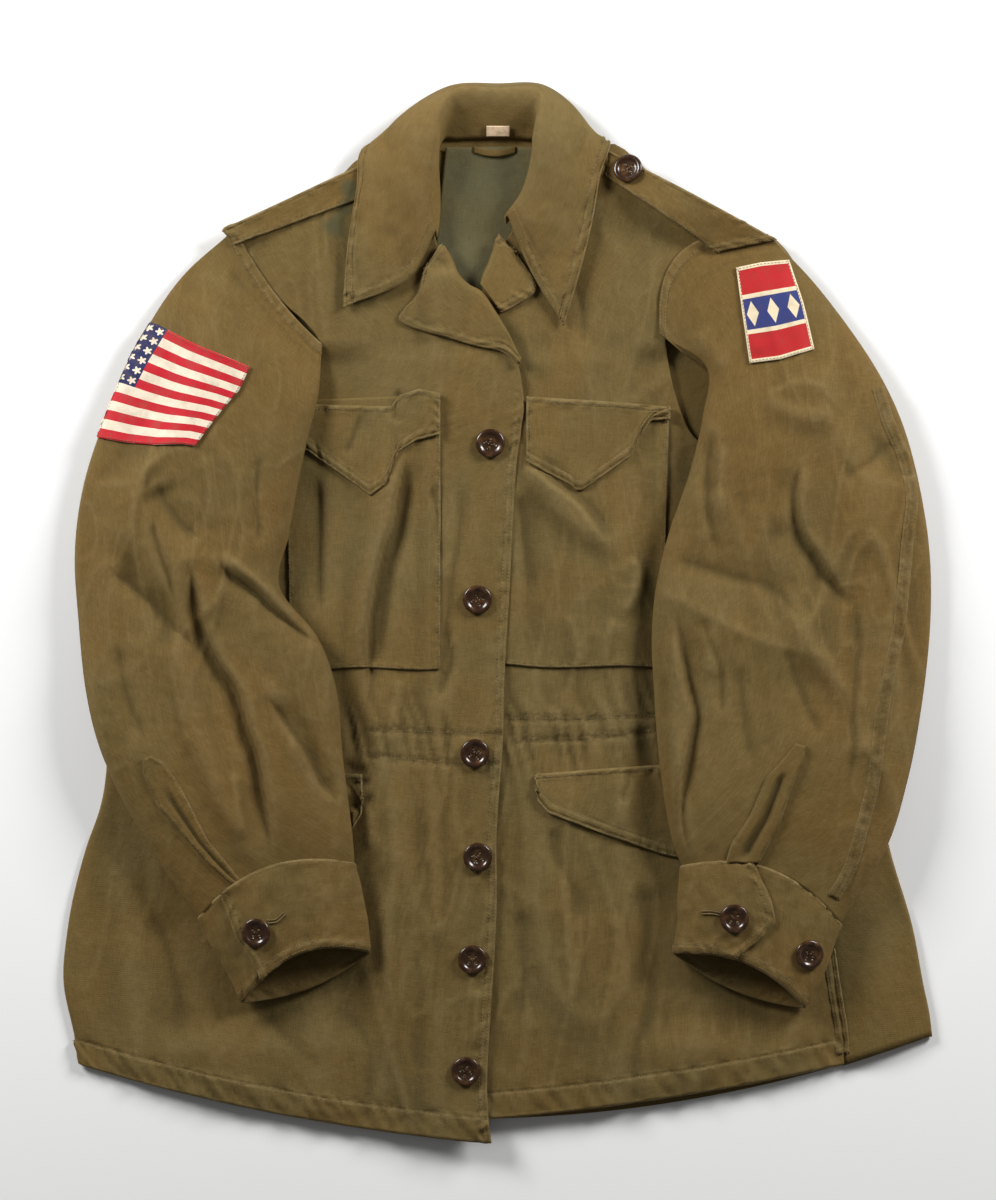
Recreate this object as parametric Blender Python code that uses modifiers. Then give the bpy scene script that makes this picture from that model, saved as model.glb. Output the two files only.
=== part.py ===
"""Field jacket laid flat on a table, face up, as sewn cloth pieces with real thickness.

The jacket lies with its collar towards +Y and its underside on the plane z = 0. "Right" and
"left" are the wearer's, so the right side of the jacket is at -X. Sizes are in millimetres
and become metres when a mesh is made. Each table row is one section of a piece or one fold.
"""

import math

import bmesh
import bpy
import numpy as np
from mathutils import Vector
from mathutils.bvhtree import BVHTree

MM = 0.001

# Cloth and the clearances between pieces
CLOTH = 1.4
DOUBLED = 2.0
PATCH = 1.0
SEAM_GAP = 0.45
STACK_GAP = 0.4
BADGE_GAP = 0.7

# How high the cloth lies
SIDE_HEIGHT = 4.4
MIDDLE_HEIGHT = 10.4
SHOULDER_HEIGHT = 9.2
SKIRT_LIFT = 3.4
OVERLAP_LIFT = 4.0
NECK_LIFT = 3.2
FOLD_RADIUS = 2.3
SLEEVE_SUPPORT = 10.4
SLEEVE_HEIGHT = 25.0
SLEEVE_EDGE = 7.0
SEAM_LAP = 1.2
CUFF_WRAP = 2.7
UPPER_WRAP = 0.06
STRAP_END_LIFT = 4.1

# Buttons
BUTTON_RADIUS = 11.35
BUTTON_STEPS = 12
BUTTON_GAP = 0.4

# Right front from hem to shoulder: side seam point, front edge point, sag of the row, and
# the mesh rows up to the next section.
RIGHT_FRONT_COLUMNS = ("side_x", "side_y", "edge_x", "edge_y", "sag", "steps")
RIGHT_FRONT = (
    (-328, -354, -5, -415, -9, 1),
    (-332, -330, -8, -385, -9, 1),
    (-340, -291, -8, -350, -5, 2),
    (-337, -248, -5, -303, 0, 2),
    (-323, -186, -1, -225, 0, 2),
    (-311, -151, -1, -170, 0, 2),
    (-307, -127, 2, -126, 0, 2),
    (-305, -97, 4, -97, 0, 2),
    (-302, -61, 5, -53, 0, 2),
    (-296, 10, 9, 18, 0, 2),
    (-285, 72, 12, 80, 0, 1),
    (-280, 100, 14, 111, 0, 1),
    (-221, 135, 18, 143, 0, 1),
    (-163, 169, 20, 169, 0, 1),
    (-139, 205, 11, 206, 0, 1),
    (-149, 225, -13, 240, 0, 1),
    (-168, 242, -32, 261, 0, 1),
    (-185, 258, -45, 281, 0, 2),
    (-205, 289, -53, 362, 9, 0),
)

LEFT_FRONT_COLUMNS = ("edge_x", "edge_y", "side_x", "side_y", "sag", "steps")
LEFT_FRONT = (
    (-34, -398, 271, -354, -6, 1),
    (-34, -373, 269, -330, -6, 1),
    (-33, -338, 265, -307, -3, 1),
    (-32, -291, 260, -268, 0, 2),
    (-31, -225, 252, -209, 0, 2),
    (-30, -170, 250, -158, 0, 2),
    (-29, -127, 252, -128, 0, 2),
    (-28, -97, 253, -98, 0, 2),
    (-27, -49, 256, -61, 0, 2),
    (-26, 18, 264, 10, 0, 2),
    (-23, 72, 272, 57, 0, 1),
    (-22, 111, 277, 92, 0, 1),
    (-21, 143, 209, 113, 0, 1),
    (-20, 169, 153, 138, 0, 1),
    (-19, 190, 139, 170, 0, 1),
    (-17, 213, 132, 204, 0, 1),
    (-14, 237, 131, 225, 0, 1),
    (-8, 268, 133, 252, 0, 1),
    (12, 300, 145, 272, 0, 2),
    (35, 352, 169, 278, 26, 0),
)

# Back from hem to shoulders: right side seam, left fold where the back turns up onto the
# face, and left side seam, which lies on the face.
BACK_COLUMNS = ("side_x", "side_y", "fold_x", "fold_y", "seam_x", "seam_y", "sag", "steps")
BACK = (
    (-327, -352, 340, -332, 272, -355, -54, 1),
    (-331, -330, 338, -315, 270, -331, -50, 1),
    (-339, -291, 333, -291, 266, -307, -30, 1),
    (-336, -248, 325, -248, 261, -268, -10, 1),
    (-322, -186, 307, -186, 253, -209, 0, 1),
    (-310, -147, 299, -147, 251, -158, 0, 1),
    (-304, -97, 296, -97, 254, -98, 0, 1),
    (-301, -61, 294, -61, 257, -61, 0, 1),
    (-295, 10, 289, 10, 265, 10, 0, 1),
    (-285, 72, 285, 65, 273, 57, 0, 1),
    (-279, 100, 283, 96, 279, 94, 0, 1),
    (-256, 123, 266, 123, 262, 123, 4, 1),
    (-233, 154, 248, 158, 244, 158, 8, 1),
    (-219, 197, 232, 205, 228, 205, 14, 1),
    (-211, 244, 222, 248, 218, 248, 36, 3),
    (-203, 287, 216, 287, 212, 287, 78, 0),
)

# Sleeves from armhole to cuff seam: outer and inner edge of the flattened tube, how far the
# upper layer's cross line bows towards the cuff, how far the lower layer's is drawn to the
# armpit, and how full the tube is.
SLEEVE_COLUMNS = (
    "outer_x", "outer_y", "inner_x", "inner_y", "bow_up", "low_dx", "low_dy", "fill", "steps",
)
RIGHT_SLEEVE = (
    (-205, 289, -138, 205, 5, -104, -142, 0.00, 1),
    (-237, 258, -140, 172, 0, -95, -127, 0.62, 2),
    (-272, 217, -148, 138, 0, -76, -101, 0.90, 2),
    (-302, 162, -156, 101, 0, -55, -72, 1.00, 2),
    (-324, 100, -163, 61, 0, -30, -40, 1.00, 2),
    (-331, 45, -170, 19, 0, -5, -12, 1.00, 2),
    (-328, -6, -141, -19, 0, 0, 0, 0.96, 2),
    (-322, -61, -126, -61, 0, 0, 0, 0.96, 2),
    (-310, -108, -121, -113, 0, 0, 0, 1.00, 2),
    (-289, -154, -116, -153, -3, 0, 0, 1.00, 2),
    (-262, -199, -113, -179, -11, 0, 0, 0.96, 2),
    (-233, -240, -112, -197, -20, 1, -3, 0.88, 0),
)
LEFT_SLEEVE = (
    (217, 289, 131, 215, -34, 100, -150, 0.00, 1),
    (247, 258, 163, 191, -17, 83, -138, 0.62, 2),
    (275, 222, 160, 154, -5, 72, -114, 0.90, 2),
    (299, 185, 150, 111, 0, 64, -88, 1.00, 2),
    (318, 143, 133, 61, 0, 54, -60, 1.00, 2),
    (331, 92, 123, 18, 0, 29, -37, 1.00, 2),
    (338, 41, 120, -22, 0, 6, -13, 0.96, 2),
    (338, -10, 122, -65, 0, 0, 0, 0.96, 2),
    (332, -68, 125, -108, 0, 0, 0, 1.00, 2),
    (321, -127, 130, -147, -3, 0, 0, 1.00, 2),
    (303, -184, 136, -178, -13, 0, 0, 0.96, 2),
    (267, -244, 144, -199, -22, -1, -3, 0.88, 0),
)
RIGHT_CUFF = (
    (-233, -240.7, -112, -197.7, -20, 1, -3, 0.88, 1),
    (-222, -262, -106, -221, -20, 2, -5, 0.88, 1),
    (-210, -283, -102, -242, -20, 2, -6, 0.86, 1),
    (-199, -305, -100, -266, -20, 3, -8, 0.84, 0),
)
LEFT_CUFF = (
    (267, -245.2, 144, -200.8, -22, -1, -3, 0.88, 1),
    (260, -265, 142, -222, -20, -2, -5, 0.88, 1),
    (251, -287, 141, -245, -17, -2, -6, 0.86, 1),
    (239, -309, 138, -267, -15, -3, -8, 0.84, 0),
)

# Hidden run of each armhole, where the sleeve's under side is sewn on: down the back's edge
# to the armpit, then up the front's edge to the inner end of the sleeve head.
RIGHT_ARMHOLE = (
    (-206, 290, 0.6), (-214, 240, 0.5), (-226, 186, 0.5), (-254, 133, 0.8), (-286, 104, 2.8),
    (-276, 108, 9.8), (-214, 139, 10.6), (-168, 166, 10.8), (-143, 196, 10.8),
)
LEFT_ARMHOLE = (
    (220, 290, 0.6), (225, 249, 0.5), (240, 200, 0.5), (268, 140, 0.8), (290, 106, 2.8),
    (262, 118, 9.8), (214, 153, 10.6), (172, 186, 10.8), (142, 205, 11.0),
)

# Collar from the right front end round the neck to the left front end. Each section runs
# from the neck seam over the roll and its outermost turn to the fall's edge.
COLLAR_COLUMNS = (
    "seam_x", "seam_y", "seam_z", "roll_x", "roll_y", "roll_z",
    "turn_x", "turn_y", "turn_z", "edge_x", "edge_y", "edge_z",
)
COLLAR = (
    (-47, 293, 12.5, -47, 297, 15, -67, 263, 16.5, -121, 238, 14.5),
    (-45, 311, 9, -52, 319, 22, -86, 292, 21, -120, 260, 15.5),
    (-45, 330, 8, -52, 344, 28, -88, 326, 25, -117, 293, 16),
    (-46, 350, 7, -48, 370, 31, -88, 358, 24, -111, 331, 16),
    (-46, 361, 7, -46, 384, 30, -86, 377, 20, -106, 362, 9),
    (-43, 369, 6.5, -42, 397, 28, -73, 391, 13, -82, 357, 0.2),
    (-33, 370, 6.5, -33, 410, 21, -41, 411, 8, -45, 344, 0.2),
    (-5, 371, 6.5, 0, 411, 18, 0, 414, 7, 0, 341, 0.2),
    (22, 370, 6.5, 33, 410, 21, 40, 411, 8, 48, 344, 0.2),
    (31, 367, 6.5, 34, 397, 28, 62, 392, 13, 78, 361, 0.2),
    (30, 358, 7, 30, 380, 30, 68, 377, 20, 88, 368, 9),
    (25, 350, 7, 28, 360, 30, 60, 348, 25, 80, 341, 16),
    (21, 333, 8, 24, 342, 27, 52, 322, 24, 75, 310, 16),
    (15, 318, 9, 16, 325, 21, 42, 288, 21, 67, 276, 15.5),
    (5, 304, 12.5, 5, 309, 15, 26, 265, 16.5, 52, 224, 14.5),
)

# Lapels along their roll line: roll point and free edge point.
LAPEL_COLUMNS = ("roll_x", "roll_y", "edge_x", "edge_y")
RIGHT_LAPEL = (
    (-45, 288, -58, 268),
    (-38, 281, -63, 250),
    (-30, 264, -77, 229),
    (-22, 256, -57, 219),
    (-13, 251, -39, 214),
    (-1, 234, -18, 208),
    (9, 217, 3, 203),
    (18, 198, 16, 192),
)
LEFT_LAPEL = (
    (-14, 257, 3, 234),
    (-12, 264, 11, 238),
    (-8, 273, 20, 243),
    (-4, 284, 30, 252),
    (0, 296, 14, 282),
)

# Shoulder straps: front and back corner at the collar, back and front corner at the sleeve,
# and how high the strap arches off the shoulder.
STRAP_RIGHT = ((-108, 322), (-113, 348), (-216, 299), (-206, 287))
STRAP_RIGHT_ARCH = 1.0
STRAP_LEFT = ((90, 338), (92, 359), (218, 291), (170, 281))
STRAP_LEFT_ARCH = 14.0

# Broad folds: piece, start, end, sideways bend, half width and height.
FOLD_COLUMNS = ("piece", "x0", "y0", "x1", "y1", "bend", "width", "height")
FOLDS = (
    ("front_right", -76, 132, -110, -52, -4, 13, 3.6),
    ("front_right", -66, 118, -92, -40, -4, 6, -2.4),
    ("front_right", -30, 150, -34, -70, 4, 14, 1.6),
    ("front_right", -60, -120, -78, -330, 8, 22, 3.0),
    ("front_right", -250, -250, -210, -390, 6, 22, 3.2),
    ("front_right", -150, -300, -140, -395, 4, 20, 2.6),
    ("front_right", -300, -190, -280, -350, 5, 14, 2.0),
    ("front_left", 20, 118, 92, 48, -6, 9, 3.0),
    ("front_left", 26, 92, 30, -40, 0, 11, -2.6),
    ("front_left", 62, 100, 66, -60, 3, 13, 2.2),
    ("front_left", 40, -130, 60, -330, -6, 22, 3.0),
    ("front_left", 100, -125, 96, -172, 0, 7, 2.6),
    ("front_left", 130, -230, 150, -370, 6, 24, 3.2),
    ("front_left", 215, -240, 232, -350, 5, 16, 2.4),
    ("sleeve_right", -243, 48, -178, -206, -26, 10, 5.0),
    ("sleeve_right", -228, 44, -150, -22, 10, 8, 3.6),
    ("sleeve_right", -276, 98, -262, 10, -4, 12, 3.0),
    ("sleeve_right", -306, 58, -250, -30, 4, 12, -4.0),
    ("sleeve_right", -182, -52, -152, -118, 4, 8, 3.6),
    ("sleeve_right", -170, -70, -124, -170, 8, 8, -3.0),
    ("sleeve_right", -226, 262, -160, 190, 10, 9, 3.0),
    ("sleeve_left", 234, 112, 276, -68, -28, 10, 5.0),
    ("sleeve_left", 219, 72, 228, 14, 0, 9, -4.0),
    ("sleeve_left", 142, -14, 152, -190, -8, 7, 4.2),
    ("sleeve_left", 160, -10, 168, -50, 2, 7, 3.0),
    ("sleeve_left", 172, 96, 168, 56, 0, 9, 3.4),
    ("sleeve_left", 208, 168, 262, 152, -6, 9, 3.0),
    ("sleeve_left", 150, 218, 176, 190, 4, 8, 3.6),
)

# Gathers of the waist drawstring tunnel: piece, first and last x, height of the line, count.
GATHER_COLUMNS = ("piece", "first_x", "last_x", "y", "count")
GATHERS = (
    ("front_right", -118, -14, -104, 8),
    ("front_left", 14, 120, -102, 8),
)
GATHER_HEIGHT = 2.4
GATHER_REACH = 26

# Convex outlines of the pieces that lie on a panel
CHEST_POCKET_RIGHT = ((-167, 168), (-45, 172), (-45, -43), (-163, -47))
CHEST_FLAP_RIGHT = ((-168, 168), (-45, 176), (-45, 138), (-100, 90), (-163, 129))
CHEST_POCKET_LEFT = ((-9, 166), (134, 160), (130, -45), (-7, -40))
CHEST_FLAP_LEFT = ((22, 171), (135, 165), (135, 143), (63, 94), (22, 124))
HIP_FLAP_RIGHT = ((-106, -126), (-106, -147), (-114, -170), (-202, -194), (-286, -162), (-286, -126))
HIP_FLAP_LEFT = ((29, -124), (240, -124), (240, -161), (150, -194), (39, -156), (29, -137))
FLAG_PATCH = ((-276, 229), (-194, 191), (-235, 129), (-330, 137))
SLEEVE_BADGE = ((184, 270), (229, 277), (248, 204), (194, 192))

# Centres of the buttons and the piece each is sewn to
BUTTON_COLUMNS = ("name", "x", "y", "carrier")
BUTTONS = (
    ("button_front_1", -6, 132, "front_right"),
    ("button_front_2", -16, 10, "front_right"),
    ("button_front_3", -18, -110, "front_right"),
    ("button_front_4", -16, -191, "front_right"),
    ("button_front_5", -20, -271, "front_right"),
    ("button_front_6", -25, -358, "front_right"),
    ("button_cuff_right_1", -188, -249, "cuff_right"),
    ("button_cuff_left_1", 184, -238, "cuff_left"),
    ("button_cuff_left_2", 242, -266, "cuff_left"),
    ("button_strap_left", 102, 346, "shoulder_strap_left"),
)

FABRIC = (0.170, 0.119, 0.045)
WARM_FABRIC = (0.165, 0.104, 0.037)
LINING_GREEN = (0.134, 0.116, 0.055)


def clear_scene():
    """Remove every object that the scene starts with."""
    for item in list(bpy.data.objects):
        bpy.data.objects.remove(item)


def make_material(name, colour, roughness, metallic=0.0):
    """Return a Principled material."""
    material = bpy.data.materials.new(name)
    material.use_nodes = True
    shader = material.node_tree.nodes["Principled BSDF"]
    shader.inputs["Base Color"].default_value = (*colour, 1)
    shader.inputs["Roughness"].default_value = roughness
    shader.inputs["Metallic"].default_value = metallic
    return material


def ramp(value, low, high):
    """Smooth step from 0 at low to 1 at high."""
    t = np.clip((value - low) / (high - low), 0, 1)
    return t * t * (3 - 2 * t)


def curve_through(rows, at):
    """Values at positions `at`, in rows, on a smooth curve through the rows of a table."""
    rows = np.asarray(rows, float)
    step = np.linalg.norm(np.diff(rows, axis=0), axis=1)
    knots = np.concatenate([[0], np.cumsum(np.maximum(step, 1e-6))])
    slopes = np.gradient(rows, knots, axis=0)
    at = np.asarray(at, float)
    i = np.minimum(at.astype(int), len(rows) - 2)
    width = (knots[i + 1] - knots[i])[:, None]
    t = (at - i)[:, None]
    start, end = rows[i], rows[i + 1]
    return (
        (1 + 2 * t) * (1 - t) ** 2 * start
        + t * (1 - t) ** 2 * width * slopes[i]
        + t * t * (3 - 2 * t) * end
        - t * t * (1 - t) * width * slopes[i + 1]
    )


def sections(table, columns):
    """The table's columns as arrays, with each section's extra mesh rows put in."""
    at = [i + k / row[-1] for i, row in enumerate(table[:-1]) for k in range(row[-1])]
    values = curve_through([row[:-1] for row in table], at + [len(table) - 1])
    return dict(zip(columns, values.T))


def fold_height(piece, x, y):
    """Sum of the broad folds of a piece at the points (x, y)."""
    total = np.zeros_like(x)
    for name, x0, y0, x1, y1, bend, width, height in FOLDS:
        if name != piece:
            continue
        along = np.array([x1 - x0, y1 - y0], float)
        length = np.hypot(*along)
        along /= length
        s = np.clip(((x - x0) * along[0] + (y - y0) * along[1]) / length, -0.3, 1.3)
        across = (x - x0) * -along[1] + (y - y0) * along[0] - bend * 4 * s * (1 - s)
        taper = ramp(s, -0.12, 0.22) * (1 - ramp(s, 0.78, 1.12))
        total += height * taper * np.exp(-((across / width) ** 2))
    return total


def gather_height(piece, x, y):
    """Short ridges that the waist drawstring draws up on a front."""
    for name, first_x, last_x, line_y, count in GATHERS:
        if name == piece:
            pitch = (last_x - first_x) / (count - 1)
            inside = ramp(x, first_x - pitch, first_x) * (1 - ramp(x, last_x, last_x + pitch / 2))
            wave = np.cos(2 * math.pi * (x - first_x) / pitch)
            reach = np.exp(-(((y - line_y) / GATHER_REACH) ** 2))
            return GATHER_HEIGHT * 0.5 * wave * inside * reach
    return np.zeros_like(x)


def laid_height(x, y):
    """Outer face of the fronts: low under the sleeves, fuller between them."""
    between = ramp(x, -122, -82) * (1 - ramp(x, 92, 124))
    height = SIDE_HEIGHT + (MIDDLE_HEIGHT - SIDE_HEIGHT) * between
    skirt = ramp(x, -325, -250) * (1 - ramp(x, 210, 265)) * (1 - ramp(y, -345, -310))
    height = np.maximum(height, SIDE_HEIGHT + SKIRT_LIFT * skirt)
    return height + (SHOULDER_HEIGHT - height) * ramp(y, 196, 214)


def front_height(piece, x, y):
    """Outer face of one front with its folds, and the lap of the right front on the left."""
    height = laid_height(x, y) + gather_height(piece, x, y)
    edges = 1 - ramp(x, -52, -38) * (1 - ramp(x, 12, 24))
    height = height + fold_height(piece, x, y) * edges
    if piece == "front_right":
        height = height + OVERLAP_LIFT * ramp(x, -64, -44) * (1 - ramp(y, 262, 275))
    return height


def spaced(stops):
    """Fractions across a panel, from (fraction, columns up to the next stop) pairs."""
    parts = [
        np.linspace(start, end, count, endpoint=False)
        for (start, count), (end, _) in zip(stops, stops[1:])
    ]
    return np.concatenate([*parts, [stops[-1][0]]])


def panel_grid(table, columns, across, first, second, height):
    """Rows of points from one side of a panel to the other, laid at a height."""
    row = sections(table, columns)
    u = across[None, :]
    x = row[f"{first}_x"][:, None] * (1 - u) + row[f"{second}_x"][:, None] * u
    y = row[f"{first}_y"][:, None] * (1 - u) + row[f"{second}_y"][:, None] * u
    y = y + row["sag"][:, None] * 4 * u * (1 - u)
    return np.stack([x, y, height(x, y)], axis=-1)


def back_height(x, y):
    """Outer face of the back, lifted near the neck where the collar's fall lies under it."""
    return NECK_LIFT * ramp(y, 262, 340) * (1 - ramp(np.abs(x), 104, 140))


def back_grid():
    """The back: flat on the table, then round the fold and onto the face to the side seam."""
    row = {name: value[:, None] for name, value in sections(BACK, BACK_COLUMNS).items()}
    u = np.linspace(0, 1, 13)[None, :]
    flat_end = row["fold_x"] - FOLD_RADIUS
    x = row["side_x"] * (1 - u) + flat_end * u
    y = row["side_y"] * (1 - u) + row["fold_y"] * u + row["sag"] * 4 * u * (1 - u)
    flat = np.stack([x, y, back_height(x, y)], axis=-1)
    turn = np.linspace(-math.pi / 2, math.pi / 2, 6)[None, 1:]
    x = flat_end + FOLD_RADIUS * np.cos(turn)
    curl = np.stack([x, row["fold_y"] + 0 * x, FOLD_RADIUS * (1 + np.sin(turn)) + 0 * x], axis=-1)
    w = np.linspace(0, 1, 5)[None, 1:]
    x = flat_end * (1 - w) + (row["seam_x"] + SEAM_GAP) * w
    y = row["fold_y"] * (1 - w) + row["seam_y"] * w
    soft = 3.0 * np.sin(math.pi * w) * ramp(row["fold_y"], -120, -220)
    face = np.stack([x, y, 2 * FOLD_RADIUS + soft + 0 * x], axis=-1)
    return np.concatenate([flat, curl, face], axis=1)


def side_x(x, y):
    """The body's side edge nearest to each point, at the point's height."""
    rows = np.array([(r[1], r[0], r[2]) for r in BACK])
    right = np.interp(y, rows[:, 0], rows[:, 1])
    left = np.interp(y, rows[:, 0], rows[:, 2])
    return np.where(x < 0, right - x, x - left)


def sleeve_support(x, y):
    """Height of what the sleeve lies on: the body, then the table beyond the body's side."""
    return SLEEVE_SUPPORT * (1 - ramp(side_x(x, y), 2, 42)) + 0.3


def ring_point(row, turn, outset, piece):
    """Points of a flattened tube: turn 0 is the outer edge, 0.5 the inner, upper layer first."""
    outer = np.stack([row["outer_x"], row["outer_y"]], axis=-1)
    inner = np.stack([row["inner_x"], row["inner_y"]], axis=-1)
    middle = (outer + inner) / 2
    ahead = np.gradient(middle, axis=0)
    ahead /= np.linalg.norm(ahead, axis=1, keepdims=True)
    angle = 2 * math.pi * turn
    cosine, sine = np.cos(angle), np.sin(angle)
    across = 0.5 - 0.5 * np.sign(cosine) * np.abs(cosine) ** 0.85
    upper = sine >= 0
    bow = row["bow_up"][:, None, None] * ahead[:, None]
    drawn = np.stack([row["low_dx"], row["low_dy"]], axis=-1)[:, None]
    shift = np.where(upper[..., None], bow, drawn) * (4 * across * (1 - across))[..., None]
    widen = -outset * np.sign(cosine) * np.abs(cosine) ** 4
    direction = inner - outer
    direction /= np.linalg.norm(direction, axis=1, keepdims=True)
    plan = (
        outer[:, None] * (1 - across[..., None])
        + inner[:, None] * across[..., None]
        + shift
        + direction[:, None] * widen[..., None]
    )
    x, y = plan[..., 0], plan[..., 1]
    fill = row["fill"][:, None]
    lift = np.abs(sine)
    rise = SLEEVE_EDGE + (SLEEVE_HEIGHT * fill - SLEEVE_EDGE * fill) * lift**0.72
    low = SLEEVE_EDGE * (1 - lift**0.45)
    height = np.where(upper, rise * fill + SEAM_LAP * (1 - fill), low * fill)
    folds = fold_height(piece, x, y) * np.where(upper, lift, 0) * fill
    z = sleeve_support(x, y) + height + folds + outset * np.where(upper, lift, -lift)
    return np.stack([x, y, z], axis=-1)


def tube_grid(table, turns, outset=0.0, piece=""):
    """A strip of a flattened tube between the first and last of its turns."""
    row = sections(table, SLEEVE_COLUMNS)
    turn = np.broadcast_to(turns, (len(row["fill"]), np.shape(turns)[-1]))
    outset = np.broadcast_to(outset, turn.shape)
    return ring_point(row, turn, outset, piece)


def under_sleeve_grid(table, armhole, turns, piece):
    """The under side of a sleeve, from its hidden armhole seam to the cuff."""
    tube = tube_grid(table[1:], turns, 0.0, piece)
    share = (turns - turns[0]) / (turns[-1] - turns[0])
    seam = curve_through(armhole, (1 - share) * (len(armhole) - 1))
    return np.concatenate([seam[None], tube])


def cuff_grid(table, start, end, point):
    """A band wound once round the wrist, its pointed end lying on its beginning."""
    rows = len(sections(table, SLEEVE_COLUMNS)["fill"])
    across = np.linspace(-1, 1, rows)[:, None]
    wound = np.linspace(0, 1, 26)[None, :]
    turns = start - wound * (1 + start - end + point * (1 - np.abs(across)) * ramp(wound, 0.8, 1))
    lapped = CUFF_WRAP * ramp(wound, 0.72, 0.86)
    return tube_grid(table, turns, lapped + 0 * turns)


def collar_grid():
    """The collar, from one front end round the neck to the other."""
    at = np.linspace(0, len(COLLAR) - 1, 2 * len(COLLAR) - 1)
    values = curve_through(COLLAR, at).reshape(len(at), 4, 3)
    steps = np.array([0, 0.5, 1, 1.3, 1.65, 2, 2.35, 2.7, 3])
    grid = np.stack([curve_through(section, steps) for section in values])
    grid[..., 2] = np.maximum(grid[..., 2], 0.2)
    return grid


def lapel_grid(table, height):
    """A lapel from its roll to its free edge, lying on the front."""
    rows = curve_through(table, np.linspace(0, len(table) - 1, 2 * len(table) - 1))
    roll, edge = rows[:, None, :2], rows[:, None, 2:]
    share = np.array([0.0, 0.08, 0.45, 1.0])[None, :, None]
    lift = np.array([3.4, 6.2, 5.6, 2.9])
    plan = roll * (1 - share) + edge * share
    x, y = plan[..., 0], plan[..., 1]
    return np.stack([x, y, height(x, y) + lift[None, :]], axis=-1)


class Jacket:
    """The pieces of the jacket, gathered in one collection under one empty."""

    def __init__(self):
        self.collection = bpy.data.collections.new("field_jacket")
        bpy.context.scene.collection.children.link(self.collection)
        self.root = bpy.data.objects.new("jacket_frame", None)
        self.collection.objects.link(self.root)
        self.pieces = {}

    def add(self, name, mesh, material):
        """Link a mesh as a named piece."""
        piece = bpy.data.objects.new(name, mesh)
        piece.parent = self.root
        mesh.materials.clear()
        mesh.materials.append(material)
        self.collection.objects.link(piece)
        self.pieces[name] = piece
        return piece

    def add_cloth(self, name, shape, material, thickness, offset=-1.0):
        """Make a piece from an open surface, given thickness by Solidify."""
        mesh = bpy.data.meshes.new(name)
        shape.to_mesh(mesh)
        shape.free()
        mesh.shade_smooth()
        piece = self.add(name, mesh, material)
        wall = piece.modifiers.new("wall", "SOLIDIFY")
        wall.thickness = thickness * MM
        wall.offset = offset
        return piece

    def add_panel(self, name, grid, material, thickness=CLOTH, flip=False):
        """Make a cloth piece from rows of points on its outer face."""
        rows, columns = grid.shape[:2]
        shape = bmesh.new()
        bmesh.ops.create_grid(shape, x_segments=columns - 1, y_segments=rows - 1, size=0.5)
        for corner in shape.verts:
            column = round((corner.co.x + 0.5) * (columns - 1))
            row = round((corner.co.y + 0.5) * (rows - 1))
            corner.co = Vector(grid[row, column]) * MM
        if flip:
            bmesh.ops.reverse_faces(shape, faces=shape.faces)
        bmesh.ops.triangulate(shape, faces=shape.faces, quad_method="FIXED")
        return self.add_cloth(name, shape, material, thickness)

    def add_on_panel(self, name, carrier, outline, gap, material, thickness=CLOTH):
        """Make a piece that lies on another: its facets cut to an outline and moved out."""
        shape = bmesh.new()
        shape.from_mesh(self.pieces[carrier].data)
        centre = np.mean(outline, axis=0)
        for a, b in zip(outline, outline[1:] + outline[:1]):
            normal = Vector((b[1] - a[1], a[0] - b[0], 0)).normalized()
            start = Vector((a[0], a[1], 0))
            if (Vector((*centre, 0)) - start).dot(normal) > 0:
                normal = -normal
            everything = shape.verts[:] + shape.edges[:] + shape.faces[:]
            bmesh.ops.bisect_plane(
                shape, geom=everything, plane_co=start * MM, plane_no=normal, clear_outer=True
            )
        bmesh.ops.remove_doubles(shape, verts=shape.verts, dist=0.0008)
        bmesh.ops.triangulate(shape, faces=shape.faces)
        shape.normal_update()
        shifts = [corner.normal * gap * MM for corner in shape.verts]
        for corner, shift in zip(shape.verts, shifts):
            corner.co += shift
        return self.add_cloth(name, shape, material, thickness, offset=1.0)

    def surface_under(self, carrier, x, y, radius):
        """Plane that touches the carrier's outer face over a disc: a point and its normal."""
        mesh = self.pieces[carrier].data
        tree = BVHTree.FromPolygons([v.co for v in mesh.vertices], [p.vertices for p in mesh.polygons])
        down = Vector((0, 0, -1))
        angles = [k * math.pi / 6 for k in range(12)]
        spots = [(x, y)] + [
            (x + r * radius * math.cos(a), y + r * radius * math.sin(a))
            for a in angles
            for r in (0.5, 1.0)
        ]
        hits = [tree.ray_cast(Vector((px, py, 100)) * MM, down) for px, py in spots]
        touched = [hit for hit in hits if hit[0] is not None]
        normal = sum((hit[1] * math.copysign(1, hit[1].z) for hit in touched), Vector()).normalized()
        centre = hits[0][0]
        lift = max((hit[0] - centre).dot(normal) for hit in touched)
        return centre + normal * lift, normal

    def add_button(self, name, x, y, carrier, mesh, material):
        """Lay a button on the piece that carries it."""
        point, normal = self.surface_under(carrier, x, y, BUTTON_RADIUS)
        button = self.add(name, mesh, material)
        if "turned" not in button.modifiers:
            turned = button.modifiers.new("turned", "SCREW")
            turned.steps = BUTTON_STEPS
            turned.render_steps = BUTTON_STEPS
            turned.use_merge_vertices = True
            turned.merge_threshold = 0.00001
        button.location = point + normal * BUTTON_GAP * MM
        button.rotation_euler = normal.to_track_quat("Z", "Y").to_euler()
        return button


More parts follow.
